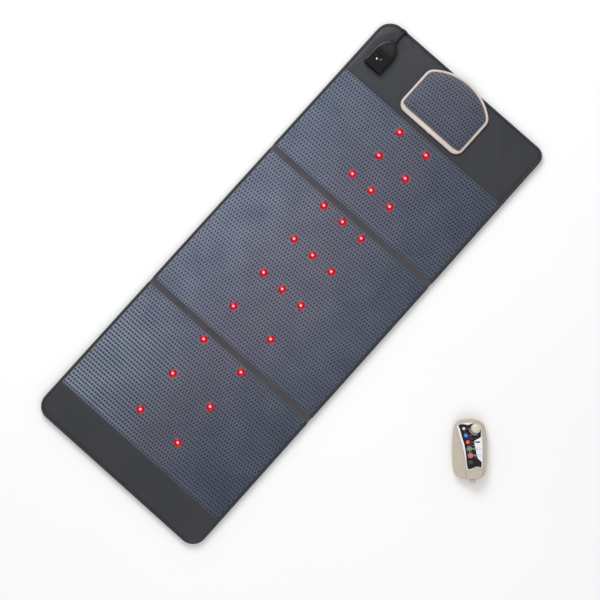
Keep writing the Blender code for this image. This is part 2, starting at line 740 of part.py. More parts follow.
def controller_shells(frame):
    outline = in_metres(SHELL_OUTLINE)
    rear = round_rim(
        plate("controller_rear_shell", outline, CONTROLLER_FLOOR, CONTROLLER_SPLIT), CONTROLLER_FLOOR, 6 * MM, 2
    )
    cut(rear, cavity("rear_cavity", SHELL_OUTLINE, CONTROLLER_WALL, 5 * MM, CONTROLLER_SPLIT + MM))
    front = round_rim(
        plate("controller_front_shell", outline, CONTROLLER_SPLIT + GAP, CONTROLLER_SHOULDER),
        CONTROLLER_SHOULDER,
        7 * MM,
    )
    tier = round_rim(
        plate("controller_tier", in_metres(TIER_OUTLINE), CONTROLLER_SPLIT + 2 * MM, TIER_TOP), TIER_TOP, 2.5 * MM, 2
    )
    unite(front, tier)
    low, high = CONTROLLER_SPLIT - MM, CONTROLLER_SHOULDER - CONTROLLER_WALL
    cut(front, cavity("front_cavity", SHELL_OUTLINE, 7 * MM, low, high))
    cut(front, plate("tier_cavity", in_metres(TIER_HOLLOW), low, TIER_TOP - TIER_WALL))
    for i, place in enumerate(SCREW_PLACES):
        unite(rear, cylinder(f"rear_boss_{i}", place, 6 * MM, 3 * MM, CONTROLLER_SPLIT, segments=16))
        cut(rear, cylinder(f"rear_counterbore_{i}", place, 3.8 * MM, CONTROLLER_FLOOR - MM, 8 * MM, segments=16))
        cut(rear, cylinder(f"rear_clearance_{i}", place, 1.9 * MM, 7 * MM, CONTROLLER_SPLIT + MM, segments=12))
        unite(front, cylinder(f"front_boss_{i}", place, 5 * MM, CONTROLLER_SPLIT + GAP, high + MM, segments=16))
        cut(front, cylinder(f"front_pilot_{i}", place, 1.9 * MM, CONTROLLER_SPLIT - MM, 30 * MM, segments=12))
    cut(front, face_holes("front_holes", high - MM, TIER_TOP + MM))
    keep(rear, SHELL, frame)
    keep(front, SHELL, frame)


def controller_face(frame):
    overlay = plate("controller_overlay", in_metres(OVERLAY_OUTLINE), TIER_TOP + GAP, OVERLAY_TOP)
    keep(cut(overlay, face_holes("overlay_holes", TIER_TOP - MM, OVERLAY_TOP + MM)), OVERLAY, frame)
    dial = [(0, 57), (6, 56.6), (11, 54.8), (13.6, 51.5), (14.4, 46.4), (16.5, 45.6), (16.5, 42.4), (3.3, 42.4)]
    dial_profile = [(r * MM, h * MM) for r, h in [*dial, (3.3, 51), (0, 51)]]
    keep(turned("temperature_knob", TEMPERATURE_AXIS, dial_profile, 36), IVORY, frame)
    small = [(0, 50), (4.4, 50), (5.35, 49.2), (5.35, 42.4), (2.3, 42.4), (2.3, 47.4), (0, 47.4)]
    keep(turned("frequency_knob", FREQUENCY_AXIS, [(r * MM, h * MM) for r, h in small], 20), IVORY, frame)
    finishes = dict(zip(BUTTONS, (BLUE, RED, GREEN, RED)))
    for name, (u, v, radius) in BUTTONS.items():
        profile = [
            (0, BUTTON_TOP),
            (radius - 0.8 * MM, BUTTON_TOP),
            (radius, BUTTON_TOP - 0.6 * MM),
            (radius, 38.2 * MM),
            (radius + MM, 38.2 * MM),
            (radius + MM, 35 * MM),
            (0, 35 * MM),
        ]
        keep(turned(name, (u, v), profile, 24), finishes[name], frame)
    u, v = DISPLAY_CENTRE
    half_u, half_v = DISPLAY_SIZE[0] / 2, DISPLAY_SIZE[1] / 2
    module = box("display_module", (u - half_u, u + half_u), (v - half_v, v + half_v), (26 * MM, OVERLAY_TOP + GAP))
    keep(module, DISPLAY, frame)


def light_pipe(frame):
    """Seven indicator windows on one thin runner under the face."""
    half = 2.8 * MM
    left = [(u - half, v) for u, v in INDICATORS]
    right = [(u + half, v) for u, v in reversed(INDICATORS)]
    first, last = INDICATORS[0], INDICATORS[-1]
    top = [(first[0] + half, first[1] + half), (first[0] - half, first[1] + half)]
    bottom = [(last[0] - half, last[1] - half), (last[0] + half, last[1] - half)]
    runner = plate("indicator_light_pipe", [*left, *bottom, *right, *top], 36 * MM, 37.2 * MM)
    for i, place in enumerate(INDICATORS):
        unite(runner, cylinder(f"window_{i}", place, INDICATOR_RADIUS, 37 * MM, OVERLAY_TOP + GAP, segments=12))
    keep(runner, LIGHT_PIPE, frame)


def controller_inside(frame):
    board = box("controller_circuit_board", (-27 * MM, 33 * MM), (-60 * MM, 78 * MM), (24 * MM, 25.6 * MM))
    for name, (u, v, _) in BUTTONS.items():
        unite(board, box(name + "_switch", (u - 3 * MM, u + 3 * MM), (v - 3 * MM, v + 3 * MM), (25 * MM, 33.4 * MM)))
    keep(board, BOARD, frame)
    u, v = TEMPERATURE_AXIS
    body = box("temperature_potentiometer", (u - 8 * MM, u + 8 * MM), (v - 8 * MM, v + 8 * MM), (26 * MM, 33 * MM))
    keep(unite(body, cylinder("temperature_shaft", (u, v), 3 * MM, 32 * MM, 50.7 * MM, segments=16)), STEEL, frame)
    u, v = FREQUENCY_AXIS
    body = box("frequency_encoder", (u - 5 * MM, u + 5 * MM), (v - 5 * MM, v + 5 * MM), (26 * MM, 32 * MM))
    keep(unite(body, cylinder("frequency_shaft", (u, v), 2 * MM, 31 * MM, 47.1 * MM, segments=12)), STEEL, frame)


def controller_fittings(frame):
    gland = plate("cable_gland", rectangle(-0.5 * MM, 20.5 * MM, -112 * MM, -99.2 * MM, 3 * MM), 22 * MM, 36 * MM)
    for i, v in enumerate((-104, -108.5)):
        for j, side in enumerate((-1, 1)):
            edge = 10 * MM + side * 10.5 * MM
            slot = box(
                f"gland_slot_{i}_{j}", sorted((edge + side * MM, edge - side * 6 * MM)),
                ((v - 0.8) * MM, (v + 0.8) * MM), (20 * MM, 38 * MM),
            )  # fmt: skip
            cut(gland, slot)
    keep(gland, SHELL, frame)
    for i, place in enumerate(SCREW_PLACES, 1):
        screw = cylinder(f"controller_screw_{i}", place, 3.4 * MM, 5.3 * MM, 7.7 * MM, segments=16)
        shank = cylinder(f"screw_shank_{i}", place, 1.5 * MM, 7.5 * MM, 29 * MM, segments=12)
        keep(unite(screw, shank), STEEL, frame)
    for i, place in enumerate(FOOT_PLACES, 1):
        foot = cylinder(f"controller_foot_{i}", place, 5 * MM, 0, CONTROLLER_FLOOR - GAP)
        keep(foot, RUBBER, frame)


def build_controller():
    frame = bpy.data.objects.new("controller_frame", None)
    PARTS.objects.link(frame)
    frame.location = CONTROLLER_PLACE
    frame.rotation_euler.z = CONTROLLER_TURN
    controller_shells(frame)
    controller_face(frame)
    light_pipe(frame)
    controller_inside(frame)
    controller_fittings(frame)


build_mat()
build_pillow()
build_connector()
build_controller()
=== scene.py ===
"""A three-panel folding infrared heating mat with a neck pillow, a lead connector and a hand controller.

Metres, +Z up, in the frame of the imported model: +Y runs to the mat's head end.
"""

import math

import bmesh
import bpy
from mathutils import Matrix, Vector
from mathutils.bvhtree import BVHTree


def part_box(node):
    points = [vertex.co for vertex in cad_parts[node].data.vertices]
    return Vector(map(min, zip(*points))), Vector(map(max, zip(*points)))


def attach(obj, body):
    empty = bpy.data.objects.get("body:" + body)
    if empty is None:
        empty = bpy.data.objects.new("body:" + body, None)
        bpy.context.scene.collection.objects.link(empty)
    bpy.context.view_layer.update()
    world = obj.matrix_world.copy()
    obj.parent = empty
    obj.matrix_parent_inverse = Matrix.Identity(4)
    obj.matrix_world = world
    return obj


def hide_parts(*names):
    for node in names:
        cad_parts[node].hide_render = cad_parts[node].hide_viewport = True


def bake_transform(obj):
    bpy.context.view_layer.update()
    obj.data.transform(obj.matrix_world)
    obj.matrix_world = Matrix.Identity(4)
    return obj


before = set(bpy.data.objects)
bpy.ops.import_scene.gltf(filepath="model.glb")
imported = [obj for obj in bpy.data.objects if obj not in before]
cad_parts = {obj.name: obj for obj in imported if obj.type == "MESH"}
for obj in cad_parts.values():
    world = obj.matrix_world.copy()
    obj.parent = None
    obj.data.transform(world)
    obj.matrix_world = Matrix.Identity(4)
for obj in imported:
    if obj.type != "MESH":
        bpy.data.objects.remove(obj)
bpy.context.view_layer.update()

MM = 0.001

# The mat
HALF_WIDTH = 350 * MM
HALF_LENGTH = 875 * MM
HEM_WIDTH = 10 * MM
HEAD_LEFT_RADIUS = 57 * MM
HEAD_RIGHT_RADIUS = 38 * MM
FOOT_RADIUS = 50 * MM
COVER_TOP = 20 * MM
COVER_FLOOR = 15.5 * MM
LAYER_GAP = 0.3 * MM
EDGE_DIP = 1.3 * MM
HEM_SPACING = 9 * MM
STITCH_PITCH = 6 * MM
DIP_REACH = 4 * MM
HEAD_FOLD_Y = 287 * MM
FOOT_FOLD_Y = -309 * MM
FOLD_HALF = 11.5 * MM
STRIP_THICKNESS = 1.2 * MM

# The woven cover's staggered oval holes
HOLE_PITCH_X = 10.42 * MM
HOLE_PITCH_Y = 12.8 * MM
HOLE_HALF_X = 2.5 * MM
HOLE_HALF_Y = 3.8 * MM
RIM_DROP = 0.55 * MM
HOLE_DEPTH = 2.8 * MM

# The foot panel's rows of yarn, with a painted highlight along each row at the left
FOOT_ROWS_START = -751.35 * MM
FOOT_ROW_PITCH = 12.67 * MM
ROW_HIGHLIGHT_STRENGTH = 0.34

# Photon lamps
LENS_RADIUS = 14 * MM
LAMP_CLEARANCE = LENS_RADIUS + 2.5 * MM
LAMP_AXIS_X = -6 * MM
LAMP_ROWS = {
    "head": ((604 * MM, 2, 58 * MM), (500 * MM, 2, 58 * MM), (395 * MM, 3, 82 * MM)),
    "middle": (
        (253 * MM, 3, 82 * MM),
        (104.5 * MM, 3, 82 * MM),
        (-46 * MM, 3, 82 * MM),
        (-195 * MM, 2, 82 * MM),
    ),
    "foot": ((-341 * MM, 2, 82 * MM), (-492 * MM, 2, 82 * MM), (-650 * MM, 2, 82 * MM)),
}

# The neck pillow
PILLOW_X = 2 * MM
PILLOW_HALF_WIDTH = 133 * MM
PILLOW_FRONT = 665 * MM
PILLOW_SHOULDER = 827 * MM
PILLOW_ARCH = 54 * MM
PILLOW_CENTRE = (PILLOW_X, 768 * MM)
PILLOW_SEAM_Z = 27.5 * MM
PILLOW_RISE = 23.5 * MM
PILLOW_FRONT_RADIUS = 31 * MM
PILLOW_SHOULDER_RADIUS = 36 * MM
PILLOW_FLOOR = 21.6 * MM
PILLOW_RINGS = 14
BINDING_HALF = 5.8 * MM
FRONT_BINDING_HALF = 9.4 * MM
BINDING_Z = 26.8 * MM
BINDING_HALF_HEIGHT = 4.6 * MM
SEAM_CORD_Z = 32 * MM
SEAM_CORD_RADIUS = 1.1 * MM
PLUMP_FRAMES = 20
PLUMP_LIMIT = 6 * MM
CLOTH_SETTINGS = {
    "quality": 6,
    "mass": 0.3,
    "tension_stiffness": 8,
    "bending_stiffness": 0.4,
    "use_pressure": True,
    "uniform_pressure_force": 3.5,
    "vertex_group_mass": "held",
}

# The connector at the end of the lead
CONNECTOR_X = -277 * MM
CONNECTOR_HALF_WIDTH = 36 * MM
CONNECTOR_FRONT_Y = 702 * MM
SCREW_PLACE = (-281 * MM, 796 * MM)
STUD_PLACE = (-281.5 * MM, 735 * MM)
LEAD_RADIUS = 4.5 * MM
LEAD_EXIT = (-276 * MM, 863.5 * MM, 27 * MM)
LEAD_ROUTE = (
    LEAD_EXIT,
    (-276 * MM, 857 * MM, 27.4 * MM),
    (-276.2 * MM, 850 * MM, 28.4 * MM),
    (-276.5 * MM, 843 * MM, 29.9 * MM),
    (-276.8 * MM, 836 * MM, 30.9 * MM),
    (-277 * MM, 829 * MM, 31.15 * MM),
    (-277 * MM, 816 * MM, 31.15 * MM),
    (-277 * MM, 803 * MM, 31.15 * MM),
    (-277 * MM, 790 * MM, 31.15 * MM),
)

# The hand controller, drawn upright in millimetres and then turned on the floor
CONTROLLER_PLACE = Matrix.Translation((801 * MM, -31 * MM, 0)) @ Matrix.Rotation(math.radians(41.5), 4, "Z")
BUTTONS = {
    "pulse": (-13, 42.8, 6.9),
    "photon": (-6.9, 21.3, 6.9),
    "timer": (-1.8, -0.5, 7.5),
    "power": (1.8, -21.9, 7.5),
}
INDICATORS = ((-4.3, 64.4), (3.1, 42.6), (6.1, 32.2), (9.2, 21.2), (11.7, 10.4), (14.3, -0.3), (17.9, -21.9))
TEMPERATURE_AXIS = (19.2, 65.5)
FREQUENCY_AXIS = (-20.2, 65)
DISPLAY_CENTRE = (2.3, -43.8)
FACE_HOLES_Z = (28 * MM, 60 * MM)
FILM_PRINT_Z = (41.55 * MM, 41.72 * MM)
HATCHING_Z = (41.45 * MM, 41.56 * MM)
KEY_PRINT_Z = (43.1 * MM, 43.36 * MM)

# The stage: each light's place, what it points at, its side and its power in watts
FLOOR_HALF = 12
FLOOR_Z = -0.3 * MM
SKY_STRENGTH = 0.62
LIGHTS = {
    "key_light": ((-2.6, 1.6, 3.2), (-0.1, 0, 0), 2.6, 110),
    "fill_light": ((2.4, -2.2, 3.4), (0.2, 0, 0), 3.0, 45),
}

# The camera, with its angles in degrees and its lens in millimetres
CAMERA_AZIMUTH = 30.05
CAMERA_ELEVATION = 83.42
CAMERA_ROLL = 11.70
CAMERA_TARGET = (0.0608, -0.0321, 0)
CAMERA_DISTANCE = 8.277
CAMERA_LENS = 150.7

# Colours as linear light, which also serve as the two ends of a share
BLACK = (0, 0, 0, 1)
WHITE = (1, 1, 1, 1)


# ---------------------------------------------------------------- materials


def colour(red, green, blue):
    """A display colour, 0 to 255, as the linear light that a shader takes."""
    levels = [value / 255 for value in (red, green, blue)]
    return (*[v / 12.92 if v <= 0.04045 else ((v + 0.055) / 1.055) ** 2.4 for v in levels], 1)


class Recipe:
    """A Principled material with textures in the piece's own coordinates, in metres."""

    def __init__(self, name, roughness, **sockets):
        self.material = bpy.data.materials.new(name)
        self.material.use_nodes = True
        self.tree = self.material.node_tree
        self.shader = self.tree.nodes["Principled BSDF"]
        self.shader.inputs["Roughness"].default_value = roughness
        for socket, value in sockets.items():
            self.shader.inputs[socket.replace("_", " ")].default_value = value
        self.place = self.tree.nodes.new("ShaderNodeTexCoord").outputs["Object"]
        self.height = None

    def node(self, kind, **inputs):
        made = self.tree.nodes.new(kind)
        for socket, value in inputs.items():
            self.feed(made.inputs[socket.replace("_", " ")], value)
        return made

    def feed(self, socket, value):
        if isinstance(value, bpy.types.NodeSocket):
            self.tree.links.new(value, socket)
        else:
            socket.default_value = value

    def scaled(self, stretch):
        """The piece's coordinates times stretch on each axis."""
        mapping = self.node("ShaderNodeMapping", Vector=self.place)
        mapping.inputs["Scale"].default_value = stretch
        return mapping.outputs["Vector"]

    def axis(self, letter):
        return self.node("ShaderNodeSeparateXYZ", Vector=self.place).outputs[letter]

    def noise(self, size, detail):
        made = self.node("ShaderNodeTexNoise", Vector=self.place, Scale=1 / size, Detail=detail)
        return made.outputs["Fac"]

    def cells(self, size, stretch=(1, 1, 1)):
        made = self.node("ShaderNodeTexVoronoi", Vector=self.scaled(stretch), Scale=1 / size)
        return made.outputs["Distance"]

    def waves(self, size, direction, distortion=0.0, stretch=(1, 1, 1)):
        place = self.scaled(stretch)
        made = self.node("ShaderNodeTexWave", Vector=place, Scale=0.314 / size, Distortion=distortion)
        made.bands_direction = direction
        return made.outputs["Fac"]

    def sums(self, operation, first, second):
        made = self.tree.nodes.new("ShaderNodeMath")
        made.operation = operation
        self.feed(made.inputs[0], first)
        self.feed(made.inputs[1], second)
        return made.outputs[0]

    def ramp(self, factor, stops):
        """A colour that follows factor through stops of (position, colour)."""
        made = self.node("ShaderNodeValToRGB", Fac=factor)
        elements = made.color_ramp.elements
        while len(elements) < len(stops):
            elements.new(0.5)
        for element, (position, tone) in zip(elements, stops):
            element.position = position
            element.color = tone
        return made.outputs["Color"]

    def between(self, factor, low, high, start=0.0, end=1.0):
        """A colour that goes from low to high as factor goes from start to end."""
        return self.ramp(factor, ((start, low), (end, high)))

    def mixed(self, blend, factor, first, second):
        made = self.tree.nodes.new("ShaderNodeMix")
        made.data_type = "RGBA"
        made.blend_type = blend
        self.feed(made.inputs["Factor"], factor)
        self.feed(made.inputs["A"], first)
        self.feed(made.inputs["B"], second)
        return made.outputs["Result"]

    def paint(self, value):
        self.feed(self.shader.inputs["Base Color"], value)
        return self

    def rough(self, factor, low, high):
        """Roughness that follows a texture from low to high."""
        spread = self.sums("MULTIPLY", factor, high - low)
        self.feed(self.shader.inputs["Roughness"], self.sums("ADD", spread, low))
        return self

    def relief(self, factor, depth):
        """Adds to the bump: depth is in metres."""
        layer = self.sums("MULTIPLY", factor, depth / MM)
        self.height = layer if self.height is None else self.sums("ADD", self.height, layer)
        return self

    def done(self):
        if self.height is not None:
            bump = self.node("ShaderNodeBump", Height=self.height, Strength=1.0, Distance=MM)
            self.feed(self.shader.inputs["Normal"], bump.outputs["Normal"])
        return self.material


def painted_row_highlights(recipe):
    """How strong the painted highlight along the rows of yarn is: only at the foot end's left."""
    x, y = recipe.axis("X"), recipe.axis("Y")
    left = recipe.between(recipe.sums("MULTIPLY", x, -1.0), BLACK, WHITE, 0.02, 0.24)
    foot = recipe.between(recipe.sums("MULTIPLY", y, -1.0), BLACK, WHITE, 0.33, 0.46)
    from_first_row = recipe.sums("SUBTRACT", y, FOOT_ROWS_START)
    rows = recipe.sums("COSINE", recipe.sums("MULTIPLY", from_first_row, math.tau / FOOT_ROW_PITCH), 0)
    crests = recipe.between(rows, BLACK, WHITE, 0.1, 1.0)
    share = recipe.sums("MULTIPLY", recipe.sums("MULTIPLY", left, foot), crests)
    return recipe.sums("MULTIPLY", share, ROW_HIGHLIGHT_STRENGTH)


def knit(name, shadow, light, painted_lamp_glow):
    """Knitted yarn: fine crossing stitches and uneven dye.

    The colour is warmer along the lamps from a painted red glow of the lit lamps, paler to the left from
    painted light and darker towards both ends from painted shade.
    """
    recipe = Recipe(name, 0.72, Sheen_Weight=0.25, Sheen_Roughness=0.5, Specular_IOR_Level=0.35)
    x, y = recipe.axis("X"), recipe.axis("Y")
    dye = recipe.between(recipe.noise(90 * MM, 2), shadow, light, 0.3, 0.7)
    # Painted red glow of the lit lamps: the colour warms towards their axis.
    off_axis = recipe.sums("ABSOLUTE", recipe.sums("SUBTRACT", x, LAMP_AXIS_X), 0)
    cast = recipe.between(recipe.sums("MULTIPLY", off_axis, 4.0), WHITE, BLACK, 0.1, 0.9)
    tinted = recipe.mixed("MIX", recipe.sums("MULTIPLY", cast, 0.55), dye, painted_lamp_glow)
    # Painted light makes the colour paler to the left; painted shade darkens it towards both ends.
    leftward = recipe.sums("ADD", recipe.sums("MULTIPLY", x, -1.5), 0.5)
    painted_light_to_left = recipe.between(leftward, (0.52, 0.54, 0.56, 1), (1.28, 1.28, 1.24, 1))
    tinted = recipe.mixed("MULTIPLY", 1.0, tinted, painted_light_to_left)
    outward = recipe.sums("ABSOLUTE", y, 0)
    painted_shade_to_ends = recipe.between(outward, (1.06, 1.06, 1.06, 1), (0.76, 0.8, 0.82, 1), 0.1, 0.62)
    tinted = recipe.mixed("MULTIPLY", 1.0, tinted, painted_shade_to_ends)
    # Painted highlight: a pale colour screened along the foot panel's rows.
    tinted = recipe.mixed("SCREEN", painted_row_highlights(recipe), tinted, colour(176, 190, 200))
    stitches = recipe.waves(0.9 * MM, "X", 1.5, (1, 0.7, 1))
    crossing = recipe.waves(1.1 * MM, "Y", 1.2, (0.6, 1, 1))
    yarn = recipe.sums("MULTIPLY", stitches, crossing)
    # Painted shade: the colour darkens in the hollows between the stitches.
    painted_stitch_shade = recipe.between(yarn, (0.72, 0.72, 0.74, 1), WHITE, 0.0, 0.5)
    recipe.paint(recipe.mixed("MULTIPLY", 1.0, tinted, painted_stitch_shade))
    recipe.relief(yarn, 0.35 * MM).relief(recipe.noise(2.5 * MM, 2), 0.2 * MM)
    return recipe.done()


def leather(name, dark, light, roughness, grain=1.4 * MM, depth=0.09 * MM):
    """Coated leather cloth: pebbled grain, fine pores and cloudy colour."""
    recipe = Recipe(name, roughness, Specular_IOR_Level=0.5)
    recipe.paint(recipe.between(recipe.noise(140 * MM, 3), dark, light, 0.3, 0.7))
    recipe.rough(recipe.noise(18 * MM, 4), roughness - 0.07, roughness + 0.1)
    recipe.relief(recipe.cells(grain, (1, 0.85, 1)), depth)
    recipe.relief(recipe.noise(0.5 * MM, 2), depth * 0.4)
    recipe.relief(recipe.noise(30 * MM, 2), 0.25 * MM)
    return recipe.done()


def moulded(name, tone, roughness, texture=0.02 * MM, coat=0.0, variation=0.06, specular=0.5):
    """Moulded plastic: a fine sparked texture and a faint cloudiness."""
    recipe = Recipe(name, roughness, Coat_Weight=coat, Coat_Roughness=0.12, Specular_IOR_Level=specular)
    low = (*[channel * (1 - variation) for channel in tone[:3]], 1)
    high = (*[min(1.0, channel * (1 + variation)) for channel in tone[:3]], 1)
    recipe.paint(recipe.between(recipe.noise(25 * MM, 3), low, high, 0.3, 0.7))
    recipe.rough(recipe.noise(6 * MM, 3), roughness - 0.05, roughness + 0.07)
    recipe.relief(recipe.noise(0.4 * MM, 2), texture)
    return recipe.done()


def metal(name, tone, roughness):
    recipe = Recipe(name, roughness, Metallic=1.0)
    low = (*[channel * 0.85 for channel in tone[:3]], 1)
    recipe.paint(recipe.between(recipe.noise(4 * MM, 3), low, tone))
    recipe.rough(recipe.noise(1.5 * MM, 3), roughness - 0.06, roughness + 0.12)
    return recipe.done()


def foam(name):
    recipe = Recipe(name, 0.95)
    recipe.paint(recipe.between(recipe.noise(3 * MM, 4), colour(190, 182, 160), colour(226, 220, 200)))
    recipe.relief(recipe.cells(1.2 * MM), 0.3 * MM)
    return recipe.done()


def backing(name):
    """Black backing cloth with a plain weave."""
    recipe = Recipe(name, 0.8)
    weave = recipe.sums("MULTIPLY", recipe.waves(0.7 * MM, "X"), recipe.waves(0.7 * MM, "Y"))
    # Painted shade: the colour is darker in the hollows of the weave.
    recipe.paint(recipe.between(weave, colour(30, 30, 32), colour(58, 58, 61)))
    recipe.relief(weave, 0.15 * MM).relief(recipe.noise(20 * MM, 3), 0.2 * MM)
    return recipe.done()


LAMP_GLOW = (
    (0.0, (1.0, 0.93, 0.94, 1)), (0.18, (1.0, 0.7, 0.74, 1)), (0.36, (0.82, 0.01, 0.03, 1)),
    (0.6, (0.4, 0.0, 0.006, 1)), (0.82, (0.56, 0.0, 0.016, 1)), (1.0, (0.36, 0.0, 0.008, 1)),
)


def lamp(name):
    """A lit red lens: near white at its middle, deep red at its rim."""
    recipe = Recipe(name, 0.2, Coat_Weight=0.1, Coat_Roughness=0.08, Specular_IOR_Level=0.2)
    radius = recipe.node("ShaderNodeVectorMath", Vector=recipe.scaled((1, 1, 0)))
    radius.operation = "LENGTH"
    glow = recipe.ramp(recipe.sums("DIVIDE", radius.outputs["Value"], LENS_RADIUS), LAMP_GLOW)
    recipe.paint(colour(70, 0, 5))
    recipe.feed(recipe.shader.inputs["Emission Color"], glow)
    recipe.shader.inputs["Emission Strength"].default_value = 0.85
    return recipe.done()


YARN = knit("knitted_mesh", colour(98, 107, 127), colour(118, 124, 143), colour(120, 112, 130))
HOLE = moulded("mesh_hole_shadow", colour(40, 46, 62), 0.9, 0.1 * MM)
PU = leather("pu_leather", colour(27, 32, 40), colour(38, 38, 44), 0.46)
HEM = leather("hem_leather", colour(24, 26, 30), colour(34, 36, 40), 0.5, grain=1.1 * MM)
STRIP = leather("strip_leather", colour(50, 47, 54), colour(62, 57, 63), 0.5)
PIPING = leather("piping_leather", colour(196, 183, 177), colour(212, 201, 195), 0.5, 0.9 * MM, 0.12 * MM)
PIPING_THREAD = leather("piping_thread", colour(120, 98, 84), colour(150, 128, 112), 0.7, grain=0.6 * MM)
THREAD = leather("stitch_thread", colour(12, 13, 16), colour(22, 23, 26), 0.7, grain=0.5 * MM)
BACKING = backing("backing_cloth")
FOAM = foam("foam_core")
FILM = moulded("heating_film", colour(62, 62, 66), 0.5)
COPPER = metal("coil_copper", colour(216, 142, 96), 0.3)
LENS = lamp("photon_lens")
GLOSS_BLACK = moulded("connector_gloss", colour(4, 5, 8), 0.14, 0.008 * MM, coat=0.1, specular=0.3)
SATIN_BLACK = moulded("connector_satin", colour(8, 10, 14), 0.3, 0.03 * MM, specular=0.35)
RUBBER = moulded("rubber", colour(16, 18, 21), 0.6, 0.03 * MM)
STEEL = metal("screw_steel", colour(190, 190, 194), 0.3)
BLACK_STEEL = metal("black_steel", colour(58, 60, 65), 0.35)
BRASS = metal("contact_brass", colour(226, 190, 120), 0.25)
SHELL = moulded("controller_shell", colour(188, 178, 162), 0.3, 0.012 * MM, coat=0.25, variation=0.03)
PRINT_BLACK = moulded("overlay_black", colour(16, 11, 14), 0.35, 0.01 * MM, specular=0.35)
PRINT_WHITE = moulded("overlay_white", colour(232, 230, 236), 0.35, 0.01 * MM, variation=0.01)
PRINT_GREY = moulded("overlay_grey", colour(150, 148, 152), 0.4, 0.01 * MM)
IVORY = moulded("knob_ivory", colour(212, 205, 186), 0.22, 0.01 * MM, coat=0.4, variation=0.03)
BLUE = moulded("button_blue", colour(0, 116, 214), 0.35, 0.01 * MM, variation=0.02)
RED = moulded("button_red", colour(222, 22, 42), 0.35, 0.01 * MM, variation=0.02)
GREEN = moulded("button_green", colour(18, 118, 46), 0.35, 0.01 * MM, variation=0.02)
WINDOW = moulded("display_window", colour(22, 23, 26), 0.12, 0.004 * MM, coat=0.2)
SEGMENTS = moulded("display_segments", colour(120, 120, 122), 0.3, 0.004 * MM)
PIPE = moulded("light_pipe", colour(98, 88, 90), 0.25, 0.006 * MM)
BOARD = moulded("circuit_board", colour(22, 92, 52), 0.45)

CAD_FINISHES = {
    "base_cover": BACKING,
    "foam_core": FOAM,
    "heating_film": FILM,
    "pulse_coil": COPPER,
    "contact_block": BRASS,
    "circuit_board": BOARD,
    "potentiometer": STEEL,
    "encoder": STEEL,
    "screw": STEEL,
    "connector_screw": BLACK_STEEL,
    "controller_foot": RUBBER,
    "pillow_base": PU,
    "rear_shell": SHELL,
    "cable_gland": SHELL,
    "light_pipe": PIPE,
}


def finish_cad_nodes():
    """Gives the CAD nodes that stay a detailed material, chosen by the end of their name."""
    for name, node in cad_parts.items():
        for part, finish in CAD_FINISHES.items():
            if part in name:
                node.data.materials.clear()
                node.data.materials.append(finish)
                node.data.shade_smooth()
                node.data.set_sharp_from_angle(angle=math.radians(35))


# ---------------------------------------------------------------- outlines


def arc(centre, radius, start, end, steps):
    """Points round an arc, angles in radians, both ends included."""
    angles = [start + (end - start) * i / steps for i in range(steps + 1)]
    return [(centre[0] + radius * math.cos(a), centre[1] + radius * math.sin(a)) for a in angles]


def rounded(corners, steps=8):
    """An outline through (x, y, radius) corners, each corner with a radius turned into an arc."""
    points = []
    for i, (x, y, radius) in enumerate(corners):
        if not radius:
            points.append((x, y))
            continue
        here = Vector((x, y))
        back = (Vector(corners[i - 1][:2]) - here).normalized()
        ahead = (Vector(corners[(i + 1) % len(corners)][:2]) - here).normalized()
        half = back.angle(ahead) / 2
        centre = here + (back + ahead).normalized() * radius / math.sin(half)
        first = here + back * radius / math.tan(half) - centre
        last = here + ahead * radius / math.tan(half) - centre
        start = math.atan2(first.y, first.x)
        turn = math.remainder(math.atan2(last.y, last.x) - start, math.tau)
        points += arc(centre, radius, start, start + turn, steps)
    return points


def in_metres(points):
    return [(a * MM, b * MM) for a, b in points]


def rectangle(x_from, x_to, y_from, y_to, radius, steps=5):
    corners = [(x_from, y_from, radius), (x_to, y_from, radius), (x_to, y_to, radius), (x_from, y_to, radius)]
    return rounded(corners, steps)


def spline_leg(a, b, c, d, steps):
    """Points on a smooth line from b to just before c, between its neighbours a and d."""
    a, b, c, d = Vector(a), Vector(b), Vector(c), Vector(d)
    leg = []
    for step in range(steps):
        t = step / steps
        spot = 2 * b + (c - a) * t + (2 * a - 5 * b + 4 * c - d) * t**2 + (3 * b - a - 3 * c + d) * t**3
        leg.append(tuple(0.5 * spot))
    return leg


def spline_outline(points, steps=4):
    """A closed outline drawn smoothly through points."""
    smooth = []
    for i in range(len(points)):
        smooth += spline_leg(*(points[(i + k - 1) % len(points)] for k in range(4)), steps)
    return smooth


def spline_open(points, steps=6):
    """A smooth line through points, with its two ends kept."""
    ends = [points[0], *points, points[-1]]
    smooth = []
    for i in range(len(points) - 1):
        smooth += spline_leg(*ends[i : i + 4], steps)
    return [*smooth, points[-1]]


def resampled(points, spacing, closed=True):
    """The same line with evenly spaced points."""
    line = [Vector(p) for p in points] + ([Vector(points[0])] if closed else [])
    reach = [0.0]
    for a, b in zip(line, line[1:]):
        reach.append(reach[-1] + (b - a).length)
    count = max(3, round(reach[-1] / spacing))
    made, leg = [], 0
    for i in range(count + (0 if closed else 1)):
        want = reach[-1] * i / count
        while leg < len(line) - 2 and reach[leg + 1] < want:
            leg += 1
        share = (want - reach[leg]) / max(1e-9, reach[leg + 1] - reach[leg])
        made.append(tuple(line[leg].lerp(line[leg + 1], share)))
    return made


def inward_normals(points, closed=True):
    """Each point's inward normal, for an anticlockwise line."""
    normals = []
    last = len(points) - 1
    for i, point in enumerate(points):
        before = points[i - 1] if closed or i > 0 else point
        after = points[(i + 1) % len(points)] if closed or i < last else point
        along = Vector(after[:2]) - Vector(before[:2])
        normals.append(Vector((-along.y, along.x)).normalized())
    return normals


def inset(outline, distance):
    normals = inward_normals(outline)
    return [(x + n.x * distance, y + n.y * distance) for (x, y), n in zip(outline, normals)]


# ---------------------------------------------------------------- pieces


def link(made):
    bpy.context.scene.collection.objects.link(made)


